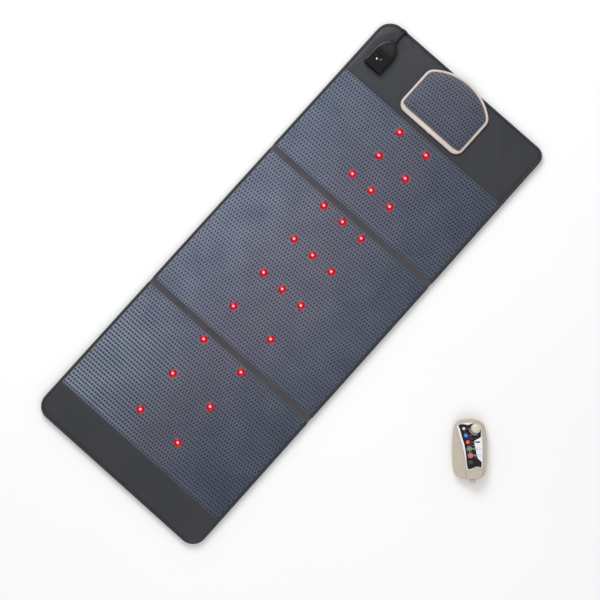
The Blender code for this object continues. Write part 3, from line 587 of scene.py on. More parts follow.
def piece(name, vertices, faces, finishes, body, slot, finish_index=None, sharp=35):
    """A mesh piece that rides on a body and takes the finishes given. The slot is not used."""
    mesh = bpy.data.meshes.new(name)
    mesh.from_pydata(vertices, [], faces)
    for finish in finishes if isinstance(finishes, tuple) else (finishes,):
        mesh.materials.append(finish)
    if finish_index:
        mesh.polygons.foreach_set("material_index", finish_index)
    shape = bmesh.new()
    shape.from_mesh(mesh)
    bmesh.ops.recalc_face_normals(shape, faces=shape.faces)
    shape.to_mesh(mesh)
    shape.free()
    mesh.shade_smooth()
    mesh.set_sharp_from_angle(angle=math.radians(sharp))
    made = bpy.data.objects.new(name, mesh)
    link(made)
    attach(made, body)
    return made


def loops_to_faces(loops, start=0, caps=True, round_loop=True):
    """Faces between loops, given as how many there are and each one's length, from vertex start on."""
    levels, count = loops
    faces = []
    for level in range(levels - 1):
        low, high = start + level * count, start + (level + 1) * count
        for i in range(count if round_loop else count - 1):
            j = (i + 1) % count
            faces.append((low + i, low + j, high + j, high + i))
    if caps:
        faces.append(tuple(start + i for i in reversed(range(count))))
        faces.append(tuple(start + (levels - 1) * count + i for i in range(count)))
    return faces


def shrunk(outline, distance):
    """The outline scaled about its middle, so that its extremes move inwards by a distance."""
    xs, ys = zip(*outline)
    middle_x, half_x = (max(xs) + min(xs)) / 2, (max(xs) - min(xs)) / 2
    middle_y, half_y = (max(ys) + min(ys)) / 2, (max(ys) - min(ys)) / 2
    across, along = 1 - distance / half_x, 1 - distance / half_y
    return [(middle_x + (x - middle_x) * across, middle_y + (y - middle_y) * along) for x, y in outline]


def slab(name, outline, levels, finish, body, slot, place=None, draw_in=inset):
    """A closed solid from one outline: each level is a height and how far the outline is drawn in there."""
    vertices = []
    for z, distance in levels:
        vertices += [(x, y, z) for x, y in draw_in(outline, distance)]
    if place:
        vertices = [place @ Vector(v) for v in vertices]
    return piece(name, vertices, loops_to_faces((len(levels), len(outline))), finish, body, slot)


def lathe(name, centre, profile, steps, finish, body, slot, place=None, flutes=None):
    """A profile of (radius, height) pairs turned about Z. flutes: count, depth, lowest and highest z."""
    vertices = []
    for radius, z in profile:
        for i in range(steps):
            turn = math.tau * i / steps
            cut = 0.0
            if flutes and flutes[2] <= z <= flutes[3]:
                cut = flutes[1] * (0.5 - 0.5 * math.cos(turn * flutes[0]))
            reach = max(radius - cut, 0.02 * MM)
            vertices.append((centre[0] + reach * math.cos(turn), centre[1] + reach * math.sin(turn), z))
    if place:
        vertices = [place @ Vector(v) for v in vertices]
    return piece(name, vertices, loops_to_faces((len(profile), steps)), finish, body, slot)


def sweep(name, line, sections, finish, body, slot, closed=False):
    """A closed section, one per point of the line, as (inward distance, height) pairs."""
    normals = inward_normals(line, closed)
    vertices = []
    for (x, y), normal, section in zip(line, normals, sections):
        vertices += [(x + normal.x * n, y + normal.y * n, z) for n, z in section]
    count = len(sections[0])
    faces = loops_to_faces((len(line), count), caps=not closed)
    if closed:
        last = (len(line) - 1) * count
        faces += [(last + i, last + (i + 1) % count, (i + 1) % count, i) for i in range(count)]
    return piece(name, vertices, faces, finish, body, slot)


def sheet_solid(upper, lower):
    """Vertices and faces of a closed solid between two sheets of points in rows."""
    rows, width = len(upper), len(upper[0])
    count = rows * width
    faces = loops_to_faces((rows, width), caps=False, round_loop=False)
    under = [tuple(count + i for i in reversed(face)) for face in faces]
    rim = list(range(width))
    rim += [row * width + width - 1 for row in range(1, rows)]
    rim += [(rows - 1) * width + i for i in range(width - 2, -1, -1)]
    rim += [row * width for row in range(rows - 2, 0, -1)]
    sides = [(rim[i - 1], rim[i], rim[i] + count, rim[i - 1] + count) for i in range(len(rim))]
    return [point for row in [*upper, *lower] for point in row], faces + under + sides


def ripple(x, y):
    """The slight unevenness of a padded surface."""
    broad = math.sin(x * 21 + y * 9) * math.sin(y * 17 - x * 6 + 1.3)
    fine = math.sin(x * 63 + 2.1) * math.sin(y * 57 + x * 23)
    return 0.3 * MM * broad + 0.12 * MM * fine


# ---------------------------------------------------------------- the mat


def lamp_places(panel):
    places = []
    for y, count, spread in LAMP_ROWS[panel]:
        xs = (-spread, spread) if count == 2 else (-spread, 0, spread)
        places += [(LAMP_AXIS_X + x, y) for x in xs]
    return places


def edge_height(x, y, limits):
    """The height of a padded surface that is sewn down round its limits."""
    x_from, x_to, y_from, y_to = limits
    edge = max(0.0, min(x - x_from, x_to - x, y - y_from, y_to - y))
    return COVER_TOP - EDGE_DIP * math.exp(-edge / DIP_REACH) + ripple(x, y)


def hole_ring(points, loop, middle, reach, size, drop):
    """A ring of points round a hole, one for each point of its cell's loop."""
    ring = []
    for index in loop:
        x, y, _ = points[index]
        turn = math.atan2((y - middle[1]) / reach[1], (x - middle[0]) / reach[0])
        across, along = HOLE_HALF_X * size * math.cos(turn), HOLE_HALF_Y * size * math.sin(turn)
        ring.append((middle[0] + across, middle[1] + along, drop))
    return ring


def woven_cells(x_from, x_to, y_from, y_to, plain_spots=()):
    """The woven cover as flat cells, with no hole near a plain spot.

    Gives points with a drop below the surface, faces, and which faces line a hole.
    """
    columns = round((x_to - x_from) / HOLE_PITCH_X)
    rows = round((y_to - y_from) / HOLE_PITCH_Y)
    quarter = (x_to - x_from) / columns / 4
    step_y = (y_to - y_from) / rows
    line = 4 * columns + 1
    points = [(x_from + k * quarter, y_from + j * step_y, 0.0) for j in range(rows + 1) for k in range(line)]
    faces, lining = [], []
    for row in range(rows):
        walls = [0, *range(2, line - 1, 4), line - 1] if row % 2 else list(range(0, line, 4))
        middle_y = y_from + (row + 0.5) * step_y
        halfway = range(len(points), len(points) + len(walls))
        points += [(x_from + wall * quarter, middle_y, 0.0) for wall in walls]
        for i, (left, right) in enumerate(zip(walls, walls[1:])):
            below = [row * line + k for k in range(left, right + 1)]
            above = [(row + 1) * line + k for k in range(right, left - 1, -1)]
            loop = [*below, halfway[i + 1], *above, halfway[i]]
            middle = (x_from + (left + right) / 2 * quarter, middle_y)
            if right - left < 4 or any(math.dist(middle, spot) < LAMP_CLEARANCE for spot in plain_spots):
                faces.append(tuple(loop))
                lining.append(0)
                continue
            for depth, (size, drop) in enumerate(((1.0, RIM_DROP), (0.82, HOLE_DEPTH))):
                start = len(points)
                points += hole_ring(points, loop, middle, (2 * quarter, step_y / 2), size, drop)
                inner = list(range(start, start + len(loop)))
                for a in range(len(loop)):
                    b = (a + 1) % len(loop)
                    faces.append((loop[a], loop[b], inner[b], inner[a]))
                    lining.append(depth)
                loop = inner
            faces.append(tuple(loop))
            lining.append(1)
    return points, faces, lining


def close_below(target, floor):
    """Closes an open sheet with sides and a flat underside."""
    shape = bmesh.new()
    shape.from_mesh(target.data)
    open_edges = [edge for edge in shape.edges if edge.is_boundary]
    made = bmesh.ops.extrude_edge_only(shape, edges=open_edges)["geom"]
    for item in made:
        if isinstance(item, bmesh.types.BMVert):
            item.co.z = floor
    bmesh.ops.edgeloop_fill(shape, edges=[edge for edge in shape.edges if edge.is_boundary])
    bmesh.ops.recalc_face_normals(shape, faces=shape.faces)
    shape.to_mesh(target.data)
    shape.free()


def woven_cover(panel):
    node = panel + "_mesh_cover"
    low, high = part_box(node)
    limits = (low[0], high[0], low[1], high[1])
    points, faces, lining = woven_cells(*limits, lamp_places(panel))
    vertices = [(x, y, edge_height(x, y, limits) - drop) for x, y, drop in points]
    finishes, name = (YARN, HOLE), panel + "_woven_cover"
    made = piece(name, vertices, faces, finishes, panel + "_panel", "mesh_fabric", lining, sharp=60)
    close_below(made, COVER_FLOOR)
    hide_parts(node)


LENS_PROFILE = (
    (14.0, 17.5), (14.0, 20.4), (13.7, 21.1), (13.0, 21.4), (12.2, 21.3), (11.9, 21.0), (11.5, 21.1),
    (10.5, 21.6), (8.5, 22.2), (6.0, 22.6), (3.0, 22.85), (0.5, 22.9),
)


def lens_mesh(steps=40):
    """A domed lens in a thin raised rim, about its own axis."""
    turns = [math.tau * i / steps for i in range(steps)]
    vertices = []
    for radius, z in LENS_PROFILE:
        vertices += [(radius * MM * math.cos(turn), radius * MM * math.sin(turn), z * MM) for turn in turns]
    mesh = bpy.data.meshes.new("photon_lens")
    mesh.from_pydata(vertices, [], loops_to_faces((len(LENS_PROFILE), steps)))
    mesh.materials.append(LENS)
    mesh.shade_smooth()
    return mesh


def photon_lamps():
    mesh = lens_mesh()
    for panel in LAMP_ROWS:
        for i, (x, y) in enumerate(lamp_places(panel), 1):
            lens = bpy.data.objects.new(f"{panel}_photon_lens_{i}", mesh)
            lens.location = (x, y, ripple(x, y))
            link(lens)
            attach(lens, panel + "_panel")
            if i == 1:
                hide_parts("photon_array_" + panel)


def corner_reach(y, y_corner, radius, sign):
    """How far an edge of the band has drawn in at y, beside a rounded corner that ends at y_corner."""
    along = sign * (y - (y_corner - sign * radius))
    if along <= 0:
        return 0.0
    return radius - math.sqrt(max(0.0, radius**2 - along**2))


def band_rows(y_from, y_to, left_radius, right_radius, height):
    """Rows of points across an end band, from its seam with the cover to the mat's end."""
    sign = 1 if y_to > y_from else -1
    half = HALF_WIDTH - HEM_WIDTH + LAYER_GAP
    count, columns = 56, 150
    rows = []
    for j in range(count + 1):
        y = y_from + (y_to - y_from) * math.sin(math.pi / 2 * j / count)
        left = -half + corner_reach(y, y_to, left_radius, sign)
        right = half - corner_reach(y, y_to, right_radius, sign)
        row = []
        for i in range(columns + 1):
            x = left + (right - left) * i / columns
            row.append((x, y, height(x, y, min(x - left, right - x))))
        rows.append(row)
    return rows if sign > 0 else rows[::-1]


def crease(x, y, start, end, height, width):
    """A soft ridge along a line."""
    a, b = Vector(start), Vector(end)
    along = max(0.0, min(1.0, (Vector((x, y)) - a).dot(b - a) / (b - a).length_squared))
    distance = (Vector((x, y)) - a.lerp(b, along)).length
    swell = math.sin(math.pi * min(1.0, 0.15 + along * 0.85))
    return height * swell * math.exp(-((distance / width) ** 2))


HEAD_CREASES = (
    ((-0.290, 0.868), (-0.322, 0.812), 0.9 * MM, 9 * MM),
    ((-0.262, 0.868), (-0.206, 0.838), 0.9 * MM, 8 * MM),
    ((-0.276, 0.866), (-0.238, 0.782), 0.7 * MM, 12 * MM),
    ((-0.300, 0.862), (-0.336, 0.770), 0.6 * MM, 10 * MM),
    ((-0.318, 0.850), (-0.250, 0.856), -0.6 * MM, 7 * MM),
    ((-0.180, 0.852), (0.020, 0.856), 0.5 * MM, 12 * MM),
    ((0.190, 0.812), (0.300, 0.700), 0.5 * MM, 20 * MM),
)
FOOT_CREASES = (
    ((-0.320, -0.790), (-0.120, -0.840), 0.5 * MM, 16 * MM),
    ((0.080, -0.800), (0.300, -0.830), 0.5 * MM, 18 * MM),
    ((-0.060, -0.770), (0.060, -0.850), 0.4 * MM, 14 * MM),
)


def end_band(name, node, y_seam, y_end, left_radius, right_radius, creases, body):
    """The plain leather band at an end of the mat, from its seam with the cover to the hem."""

    def height(x, y, side):
        edge = max(0.0, min(side, abs(y - y_seam), abs(y_end - y)))
        folds = sum(crease(x, y, *line) for line in creases) * min(1.0, edge / (12 * MM))
        sewn_down = EDGE_DIP * math.exp(-edge / DIP_REACH)
        return COVER_TOP - 0.2 * MM - sewn_down + ripple(x, y) * 1.2 + folds

    inner = HEM_WIDTH - LAYER_GAP
    upper = band_rows(y_seam, y_end, left_radius - inner, right_radius - inner, height)
    lower = [[(x, y, COVER_FLOOR) for x, y, _ in row] for row in upper]
    made = piece(name, *sheet_solid(upper, lower), PU, body, "pu_leather")
    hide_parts(node)


HEM_SECTION = (
    (0.5, 2.0), (0.0, 5.0), (0.0, 10.0), (0.1, 14.0), (0.7, 16.8), (1.9, 18.9), (3.6, 20.1), (5.6, 20.6),
    (7.6, 20.3), (9.0, 19.5), (9.9, 18.3), (10.2, 16.4), (9.6, 14.0), (9.6, 1.2), (8.8, 0.3), (2.4, 0.3),
)


def hem_sections(line):
    """The hem's section at each point of the line: its crown puffs and narrows a little along the way."""
    sections = []
    for i in range(len(line)):
        puff = 1 + 0.012 * math.sin(i * 0.9) + 0.008 * math.sin(i * 0.37 + 1)
        sections.append([(n * MM, z * MM * puff - 0.6 * MM if z > 17 else z * MM) for n, z in HEM_SECTION])
    return sections


def hem(name, line, body, node):
    made = sweep(name, line, hem_sections(line), HEM, body, "hem_binding")
    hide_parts(node)
    stitch_line(name + "_stitches", line, 9.4 * MM, 19.1 * MM, body)


# Along a stitch: the share of its length, its radius and its lift, in millimetres
STITCH_RINGS = ((0.0, 0.15, -0.25), (0.25, 0.5, 0.2), (0.75, 0.5, 0.2), (1.0, 0.15, -0.25))


def stitch_line(name, line, depth, z, body, sides=5):
    """A row of short sewn stitches beside a line."""
    spots = resampled(line, STITCH_PITCH / 2, closed=False)
    rests = [
        Vector((x + normal.x * depth, y + normal.y * depth, z))
        for (x, y), normal in zip(spots, inward_normals(spots, closed=False))
    ]
    vertices, faces = [], []
    for a, b in zip(rests[::2], rests[1::2]):
        a, b = a.lerp(b, -0.15), a.lerp(b, 1.15)
        across = (b - a).cross(Vector((0, 0, 1))).normalized()
        start = len(vertices)
        for share, width, lift in STITCH_RINGS:
            middle = a.lerp(b, share) + Vector((0, 0, lift * MM))
            for k in range(sides):
                turn = math.tau * k / sides
                upward = Vector((0, 0, math.sin(turn) * width * MM))
                vertices.append(middle + across * math.cos(turn) * width * MM + upward)
        faces += loops_to_faces((4, sides), start)
    piece(name, vertices, faces, THREAD, body, "hem_binding")


def build_hems():
    """The dark hem: one piece round each end, and one down each side of the middle panel."""
    head_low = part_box("head_hem")[0][1]
    foot_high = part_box("foot_hem")[1][1]
    middle_low, middle_high = (corner[1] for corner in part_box("middle_hem_left"))
    head = [
        (HALF_WIDTH, head_low, 0),
        (HALF_WIDTH, HALF_LENGTH, HEAD_RIGHT_RADIUS),
        (-HALF_WIDTH, HALF_LENGTH, HEAD_LEFT_RADIUS),
        (-HALF_WIDTH, head_low, 0),
    ]
    foot = [
        (-HALF_WIDTH, foot_high, 0),
        (-HALF_WIDTH, -HALF_LENGTH, FOOT_RADIUS),
        (HALF_WIDTH, -HALF_LENGTH, FOOT_RADIUS),
        (HALF_WIDTH, foot_high, 0),
    ]
    right = [(HALF_WIDTH, middle_low, 0), (HALF_WIDTH, middle_high, 0)]
    left = [(-HALF_WIDTH, middle_high, 0), (-HALF_WIDTH, middle_low, 0)]
    for name, corners, panel, node in (
        ("head_binding", head, "head_panel", "head_hem"),
        ("foot_binding", foot, "foot_panel", "foot_hem"),
        ("middle_right_binding", right, "middle_panel", "middle_hem_right"),
        ("middle_left_binding", left, "middle_panel", "middle_hem_left"),
    ):
        hem(name, resampled(rounded(corners, 12), HEM_SPACING, closed=False), panel, node)


def fold_cover(name, y, top, sag, body_before, replaced, underside=False):
    """A strip of leather cloth across a fold, sewn to both panels."""
    half_x, half_y = HALF_WIDTH - 1.5 * MM, FOLD_HALF + 0.4 * MM
    columns, steps = 140, 16
    upper = []
    for j in range(steps + 1):
        share = j / steps
        arch = math.sin(math.pi * share)
        row = []
        for i in range(columns + 1):
            x = -half_x + 2 * half_x * i / columns
            pucker = 0 if underside else 0.25 * MM * math.sin(x * 95 + 0.7 * math.sin(x * 31)) * arch
            row.append((x, y - half_y + 2 * half_y * share, top + sag * arch + pucker))
        upper.append(row)
    lower = [[(x, across, z - STRIP_THICKNESS) for x, across, z in row] for row in upper]
    finish = BACKING if underside else STRIP
    made = piece(name, *sheet_solid(upper, lower), finish, body_before, "strip_pu")
    made.parent = None
    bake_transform(made)
    if replaced:
        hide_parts(replaced)


def build_folds():
    top, sag = 17.6 * MM, -0.9 * MM
    fold_cover("foot_fold_cover", FOOT_FOLD_Y, top, sag, "foot_panel", "foot_fold_strip")
    fold_cover("head_fold_cover", HEAD_FOLD_Y, top, sag, "middle_panel", "head_fold_strip")
    top, sag = 1.5 * MM, 0
    fold_cover("head_fold_backing", HEAD_FOLD_Y, top, sag, "middle_panel", None, underside=True)


def build_mat():
    for panel in LAMP_ROWS:
        woven_cover(panel)
    photon_lamps()
    head_low, head_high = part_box("head_band")
    foot_low, foot_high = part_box("foot_band")
    end_band(
        "head_leather_band", "head_band", head_low[1], head_high[1] + 2 * LAYER_GAP,
        HEAD_LEFT_RADIUS, HEAD_RIGHT_RADIUS, HEAD_CREASES, "head_panel",
    )
    end_band(
        "foot_leather_band", "foot_band", foot_high[1], foot_low[1] - 2 * LAYER_GAP,
        FOOT_RADIUS, FOOT_RADIUS, FOOT_CREASES, "foot_panel",
    )
    build_hems()
    build_folds()


# ---------------------------------------------------------------- the neck pillow


def pillow_outline(spacing=4 * MM):
    """Straight at the front, with rounded corners, and arched at the back."""
    radius = (PILLOW_HALF_WIDTH**2 + PILLOW_ARCH**2) / (2 * PILLOW_ARCH)
    centre = (PILLOW_X, PILLOW_SHOULDER + PILLOW_ARCH - radius)
    half_angle = math.asin(PILLOW_HALF_WIDTH / radius)
    arch = arc(centre, radius, math.pi / 2 - half_angle, math.pi / 2 + half_angle, 24)
    corners = [
        (PILLOW_X - PILLOW_HALF_WIDTH, PILLOW_FRONT, PILLOW_FRONT_RADIUS),
        (PILLOW_X + PILLOW_HALF_WIDTH, PILLOW_FRONT, PILLOW_FRONT_RADIUS),
        (*arch[0], PILLOW_SHOULDER_RADIUS),
        *[(x, y, 0) for x, y in arch[2:-2]],
        (*arch[-1], PILLOW_SHOULDER_RADIUS),
    ]
    return resampled(rounded(corners, 10), spacing)


def front_share(y):
    """1 along the pillow's front edge, where the binding is wider, and 0 elsewhere."""
    return max(0.0, min(1.0, (PILLOW_FRONT + 16 * MM - y) / (10 * MM)))


def binding_half(y):
    return BINDING_HALF + (FRONT_BINDING_HALF - BINDING_HALF) * front_share(y)


def pillow_body():
    """The stuffed body: rings from the seam to the crown above, and to a flat seat below."""
    outline = pillow_outline()
    drawn_in = inset(outline, 5 * MM)
    seam = [(x, y + 8 * MM * front_share(old_y)) for (x, y), (_, old_y) in zip(drawn_in, outline)]
    centre, count = Vector(PILLOW_CENTRE), len(seam)
    shares = [1 - ring / PILLOW_RINGS for ring in range(PILLOW_RINGS)]
    heights = [PILLOW_SEAM_Z + PILLOW_RISE * 0.86 * (1 - share**3.2) ** 0.62 for share in shares]
    drops = [min(1.0, (1 - share) * 7) for share in shares[1:]]
    heights += [PILLOW_SEAM_Z - (PILLOW_SEAM_Z - PILLOW_FLOOR) * drop for drop in drops]
    vertices = []
    for share, z in zip(shares + shares[1:], heights):
        vertices += [(*centre.lerp(Vector(point), share), z) for point in seam]
    start = PILLOW_RINGS * count
    faces = loops_to_faces((PILLOW_RINGS, count), caps=False)
    faces.append(tuple(start - count + i for i in range(count)))
    faces += [((i + 1) % count, i, start + i, start + (i + 1) % count) for i in range(count)]
    below = loops_to_faces((PILLOW_RINGS - 1, count), start, caps=False)
    faces += [(b, a, d, c) for a, b, c, d in below]
    faces.append(tuple(start + (PILLOW_RINGS - 2) * count + i for i in reversed(range(count))))
    body = piece("pillow_stuffed_body", vertices, faces, YARN, "pillow", "mesh_fabric", sharp=80)
    bpy.context.view_layer.update()
    plump(body, count)
    return body


def plump(body, seam_count):
    """Fills the pillow by a cloth simulation, held at its seam and at its seat."""
    held = body.vertex_groups.new(name="held")
    rest = [vertex.co.copy() for vertex in body.data.vertices]
    fixed = [i for i, spot in enumerate(rest) if i < seam_count or spot.z < PILLOW_FLOOR + 0.1 * MM]
    held.add(fixed, 1.0, "REPLACE")
    cloth = body.modifiers.new("cloth", "CLOTH")
    for setting, value in CLOTH_SETTINGS.items():
        setattr(cloth.settings, setting, value)
    cloth.settings.effector_weights.gravity = 0
    cloth.collision_settings.use_collision = False
    scene = bpy.context.scene
    for step in range(1, PLUMP_FRAMES + 1):
        scene.frame_set(step)
    graph = bpy.context.evaluated_depsgraph_get()
    swollen = [vertex.co.copy() for vertex in body.evaluated_get(graph).data.vertices]
    body.modifiers.remove(cloth)
    body.vertex_groups.remove(held)
    scene.frame_set(1)
    for vertex, start, spot in zip(body.data.vertices, rest, swollen):
        move = spot - start
        if move.length > PLUMP_LIMIT:
            move *= PLUMP_LIMIT / move.length
        vertex.co = start + move
    body.data.update()


def nearest_edge(x, y, outline):
    """Distance from a spot to an outline's nearest point, negative if the spot is outside."""
    inside = False
    near = 1.0
    for i, (x1, y1) in enumerate(outline):
        x0, y0 = outline[i - 1]
        near = min(near, math.hypot(x - x1, y - y1))
        if (y0 > y) != (y1 > y) and x < (x1 - x0) * (y - y0) / (y1 - y0) + x0:
            inside = not inside
    return near if inside else -near


def pillow_cover(body):
    """The woven cover's cells, laid on the stuffed body and kept inside the binding."""
    outline = pillow_outline(5 * MM)
    corners = [vertex.co.copy() for vertex in body.data.vertices]
    tree = BVHTree.FromPolygons(corners, [tuple(face.vertices) for face in body.data.polygons])
    half = PILLOW_HALF_WIDTH + 5 * MM
    points, faces, lining = woven_cells(PILLOW_X - half, PILLOW_X + half, 660 * MM, 890 * MM)
    depth = [nearest_edge(x, y, outline) for x, y, _ in points]
    vertices = []
    for (x, y, drop), edge in zip(points, depth):
        hit = tree.ray_cast(Vector((x, y, 0.2)), Vector((0, 0, -1)))[0]
        surface = hit.z if hit else PILLOW_SEAM_Z
        fade = max(0.0, min(1.0, (edge - 9 * MM - 7 * MM * front_share(y - 16 * MM)) / (14 * MM)))
        vertices.append((x, y, surface + 0.3 * MM + (2.4 * MM - drop * 0.75) * fade))
    hidden = [7 * MM + 7.5 * MM * front_share(y - 12 * MM) for _, y, _ in points]
    kept = [i for i, face in enumerate(faces) if all(depth[v] > hidden[v] for v in face)]
    used = sorted({v for i in kept for v in faces[i]})
    renumber = {old: new for new, old in enumerate(used)}
    vertices = [vertices[v] for v in used]
    faces = [tuple(renumber[v] for v in faces[i]) for i in kept]
    lining = [lining[i] for i in kept]
    finishes = (YARN, HOLE)
    made = piece("pillow_woven_cover", vertices, faces, finishes, "pillow", "mesh_fabric", lining, sharp=60)
    close_below(made, PILLOW_SEAM_Z - 2 * MM)


def pillow_binding():
    """The pale binding sewn round the pillow, wider along its front, and the brown cord beside it."""
    line = pillow_outline()
    sections, cord = [], []
    for i, (x, y) in enumerate(line):
        half = binding_half(y) * (1 + 0.03 * math.sin(i * 0.7) + 0.02 * math.sin(i * 0.23 + 2))
        join = front_share(y) * math.exp(-(((x - PILLOW_X - 4 * MM) / (5 * MM)) ** 2))
        tall = BINDING_HALF_HEIGHT + 0.7 * MM * join
        section = []
        for k in range(14):
            turn = math.tau * k / 14
            groove = 0.45 * MM * math.exp(-(((turn - 1.3) / 0.35) ** 2))
            reach = half + (1.2 * MM * join if math.cos(turn) < 0 else 0)
            section.append((half + reach * math.cos(turn), BINDING_Z + (tall - groove) * math.sin(turn)))
        sections.append(section)
        cord.append(arc((2 * binding_half(y) - 2.4 * MM, SEAM_CORD_Z), SEAM_CORD_RADIUS, 0, math.tau, 8)[:-1])
    made = sweep("pillow_binding", line, sections, PIPING, "pillow", "piping", closed=True)
    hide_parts("pillow_piping")
    sweep("pillow_seam_cord", line, cord, PIPING_THREAD, "pillow", "piping", closed=True)


def build_pillow():
    body = pillow_body()
    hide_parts("pillow_cushion")
    pillow_cover(body)
    pillow_binding()


# ---------------------------------------------------------------- the connector


def connector_outline():
    """A square front end with rounded corners, and a tail that narrows to the lead."""
    tail = [(36, 765), (33.5, 782), (27, 799), (17, 812), (9, 818)]
    right = [(CONNECTOR_X + across * MM, y * MM) for across, y in tail]
    left = [(2 * CONNECTOR_X - x, y) for x, y in reversed(right)]
    x_from, x_to = CONNECTOR_X - CONNECTOR_HALF_WIDTH, CONNECTOR_X + CONNECTOR_HALF_WIDTH
    box = [(x_from, CONNECTOR_FRONT_Y, 8 * MM), (x_to, CONNECTOR_FRONT_Y, 8 * MM)]
    box += [(x_to, 740 * MM, 0), (x_from, 740 * MM, 0)]
    return resampled([*rounded(box)[:-2], *spline_open([*right, *left])], 2 * MM)


def solid_box(name, x_range, y_range, z_range):
    """A plain cutter."""
    mesh = bpy.data.meshes.new(name)
    shape = bmesh.new()
    bmesh.ops.create_cube(shape, size=1.0)
    for vertex in shape.verts:
        for axis, (low, high) in enumerate((x_range, y_range, z_range)):
            vertex.co[axis] = low + (high - low) * (vertex.co[axis] + 0.5)
    shape.to_mesh(mesh)
    shape.free()
    return bpy.data.objects.new(name, mesh)


def solid_round(name, centre, radius, bottom, top, segments=40):
    mesh = bpy.data.meshes.new(name)
    shape = bmesh.new()
    tall = top - bottom
    bmesh.ops.create_cone(shape, cap_ends=True, segments=segments, radius1=radius, radius2=radius, depth=tall)
    bmesh.ops.translate(shape, verts=shape.verts, vec=(centre[0], centre[1], (bottom + top) / 2))
    shape.to_mesh(mesh)
    shape.free()
    return bpy.data.objects.new(name, mesh)


def recess(name, node, gap, z_range):
    """A cutter round a CAD node, larger than it by a gap."""
    low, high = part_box(node)
    return solid_box(name, (low[0] - gap, high[0] + gap), (low[1] - gap, high[1] + gap), z_range)


def lead_bore(name, radius, half_length, y):
    """A round cutter along the lead, with its middle at y."""
    bore = solid_round(name, (0, 0), radius, -half_length, half_length)
    place = Matrix.Translation((CONNECTOR_X, y, LEAD_ROUTE[-1][2]))
    bore.data.transform(place @ Matrix.Rotation(math.pi / 2, 4, "X"))
    return bore


def settle_modifiers(target):
    """Turns what the modifiers give into the piece's own mesh."""
    bpy.context.view_layer.update()
    graph = bpy.context.evaluated_depsgraph_get()
    shown = target.evaluated_get(graph)
    mesh = bpy.data.meshes.new_from_object(shown, preserve_all_data_layers=True, depsgraph=graph)
    target.modifiers.clear()
    target.data = mesh


def carve(target, cutters, edge=0.0):
    """Cuts solids out of a piece for good, and breaks the edges that the cuts leave."""
    for cutter in cutters:
        link(cutter)
        cutter.matrix_world = target.matrix_world @ cutter.matrix_world
        modifier = target.modifiers.new("cut", "BOOLEAN")
        modifier.object = cutter
        modifier.operation = "DIFFERENCE"
        modifier.solver = "EXACT"
    if edge:
        bevel = target.modifiers.new("edge", "BEVEL")
        bevel.width = edge
        bevel.segments = 2
        bevel.limit_method = "ANGLE"
        bevel.angle_limit = math.radians(50)
    settle_modifiers(target)
    target.data.shade_smooth()
    target.data.set_sharp_from_angle(angle=math.radians(40))
    for cutter in cutters:
        bpy.data.objects.remove(cutter)
    flat_faces = target.modifiers.new("flat_faces", "WEIGHTED_NORMAL")
    flat_faces.keep_sharp = True
    settle_modifiers(target)


LOWER_LEVELS = [(20.4, 2.6), (20.7, 1.2), (21.6, 0.3), (23.5, 0), (30.2, 0), (30.8, 0.5), (30.8, 1.4)]
UPPER_LEVELS = [
    (31.3, 1.4), (31.3, 0.5), (31.9, 0), (38.0, 0), (40.5, 0.5), (42.4, 1.8), (43.7, 3.6), (44.5, 6.2),
    (44.9, 9.2), (45.0, 12.5),
]
PLATE_LEVELS = [(43.0, 1.0), (44.6, 0.2), (45.2, 0.5), (45.6, 1.4), (45.7, 2.6), (45.7, 3.6)]
LATCH_LEVELS = [
    (36.6, 0.5), (36.9, 0), (42.4, 0), (43.1, 0.4), (43.5, 1.1), (43.4, 2.4), (43.1, 4.0), (42.9, 6.0),
]
STUD_PROFILE = [(4.4, 42.3), (4.4, 43.6), (4.0, 44.3), (2.8, 44.9), (1.2, 45.2)]
BOOT_RINGS = [
    (8.0, 818.4), (8.2, 821), (7.6, 823), (8.0, 825), (7.2, 827), (7.5, 829), (6.6, 831), (6.6, 833),
    (5.7, 836),
]
GROMMET_LEVELS = [(19.0, 0), (30.6, 0), (32.2, 0.9), (33.2, 2.4), (33.6, 3.9)]


def connector_part(name, outline, levels, finish=SATIN_BLACK, body="head_panel", draw_in=shrunk):
    return slab(name, outline, in_metres(levels), finish, body, "connector_plastic", draw_in=draw_in)


def connector_shells():
    """The lower and upper shell, cut out for the socket, the lead, the latch and the screw."""
    outline = connector_outline()
    socket_x = (CONNECTOR_X - 26 * MM, CONNECTOR_X + 26 * MM)
    mill = [
        solid_box("socket_cut", socket_x, (695 * MM, 785 * MM), (25 * MM, 38 * MM)),
        lead_bore("lead_cut", LEAD_RADIUS + LAYER_GAP, 20 * MM, 805 * MM),
    ]
    lower = connector_part("connector_lower_body", outline, LOWER_LEVELS)
    carve(lower, [part.copy() for part in mill])
    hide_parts("connector_lower_shell")
    upper = connector_part("connector_upper_body", outline, UPPER_LEVELS)
    window = recess("latch_cut", "connector_latch", LAYER_GAP, (37 * MM, 50 * MM))
    screw_hole = solid_round("screw_cut", SCREW_PLACE, 3.4 * MM, 40.7 * MM, 50 * MM)
    seam_line = solid_box("seam_cut", (-330 * MM, -230 * MM), (774.4 * MM, 775.6 * MM), (43.6 * MM, 50 * MM))
    carve(upper, [*mill, window, screw_hole, seam_line], edge=0.35 * MM)
    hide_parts("connector_upper_shell")
    return [lower, upper]


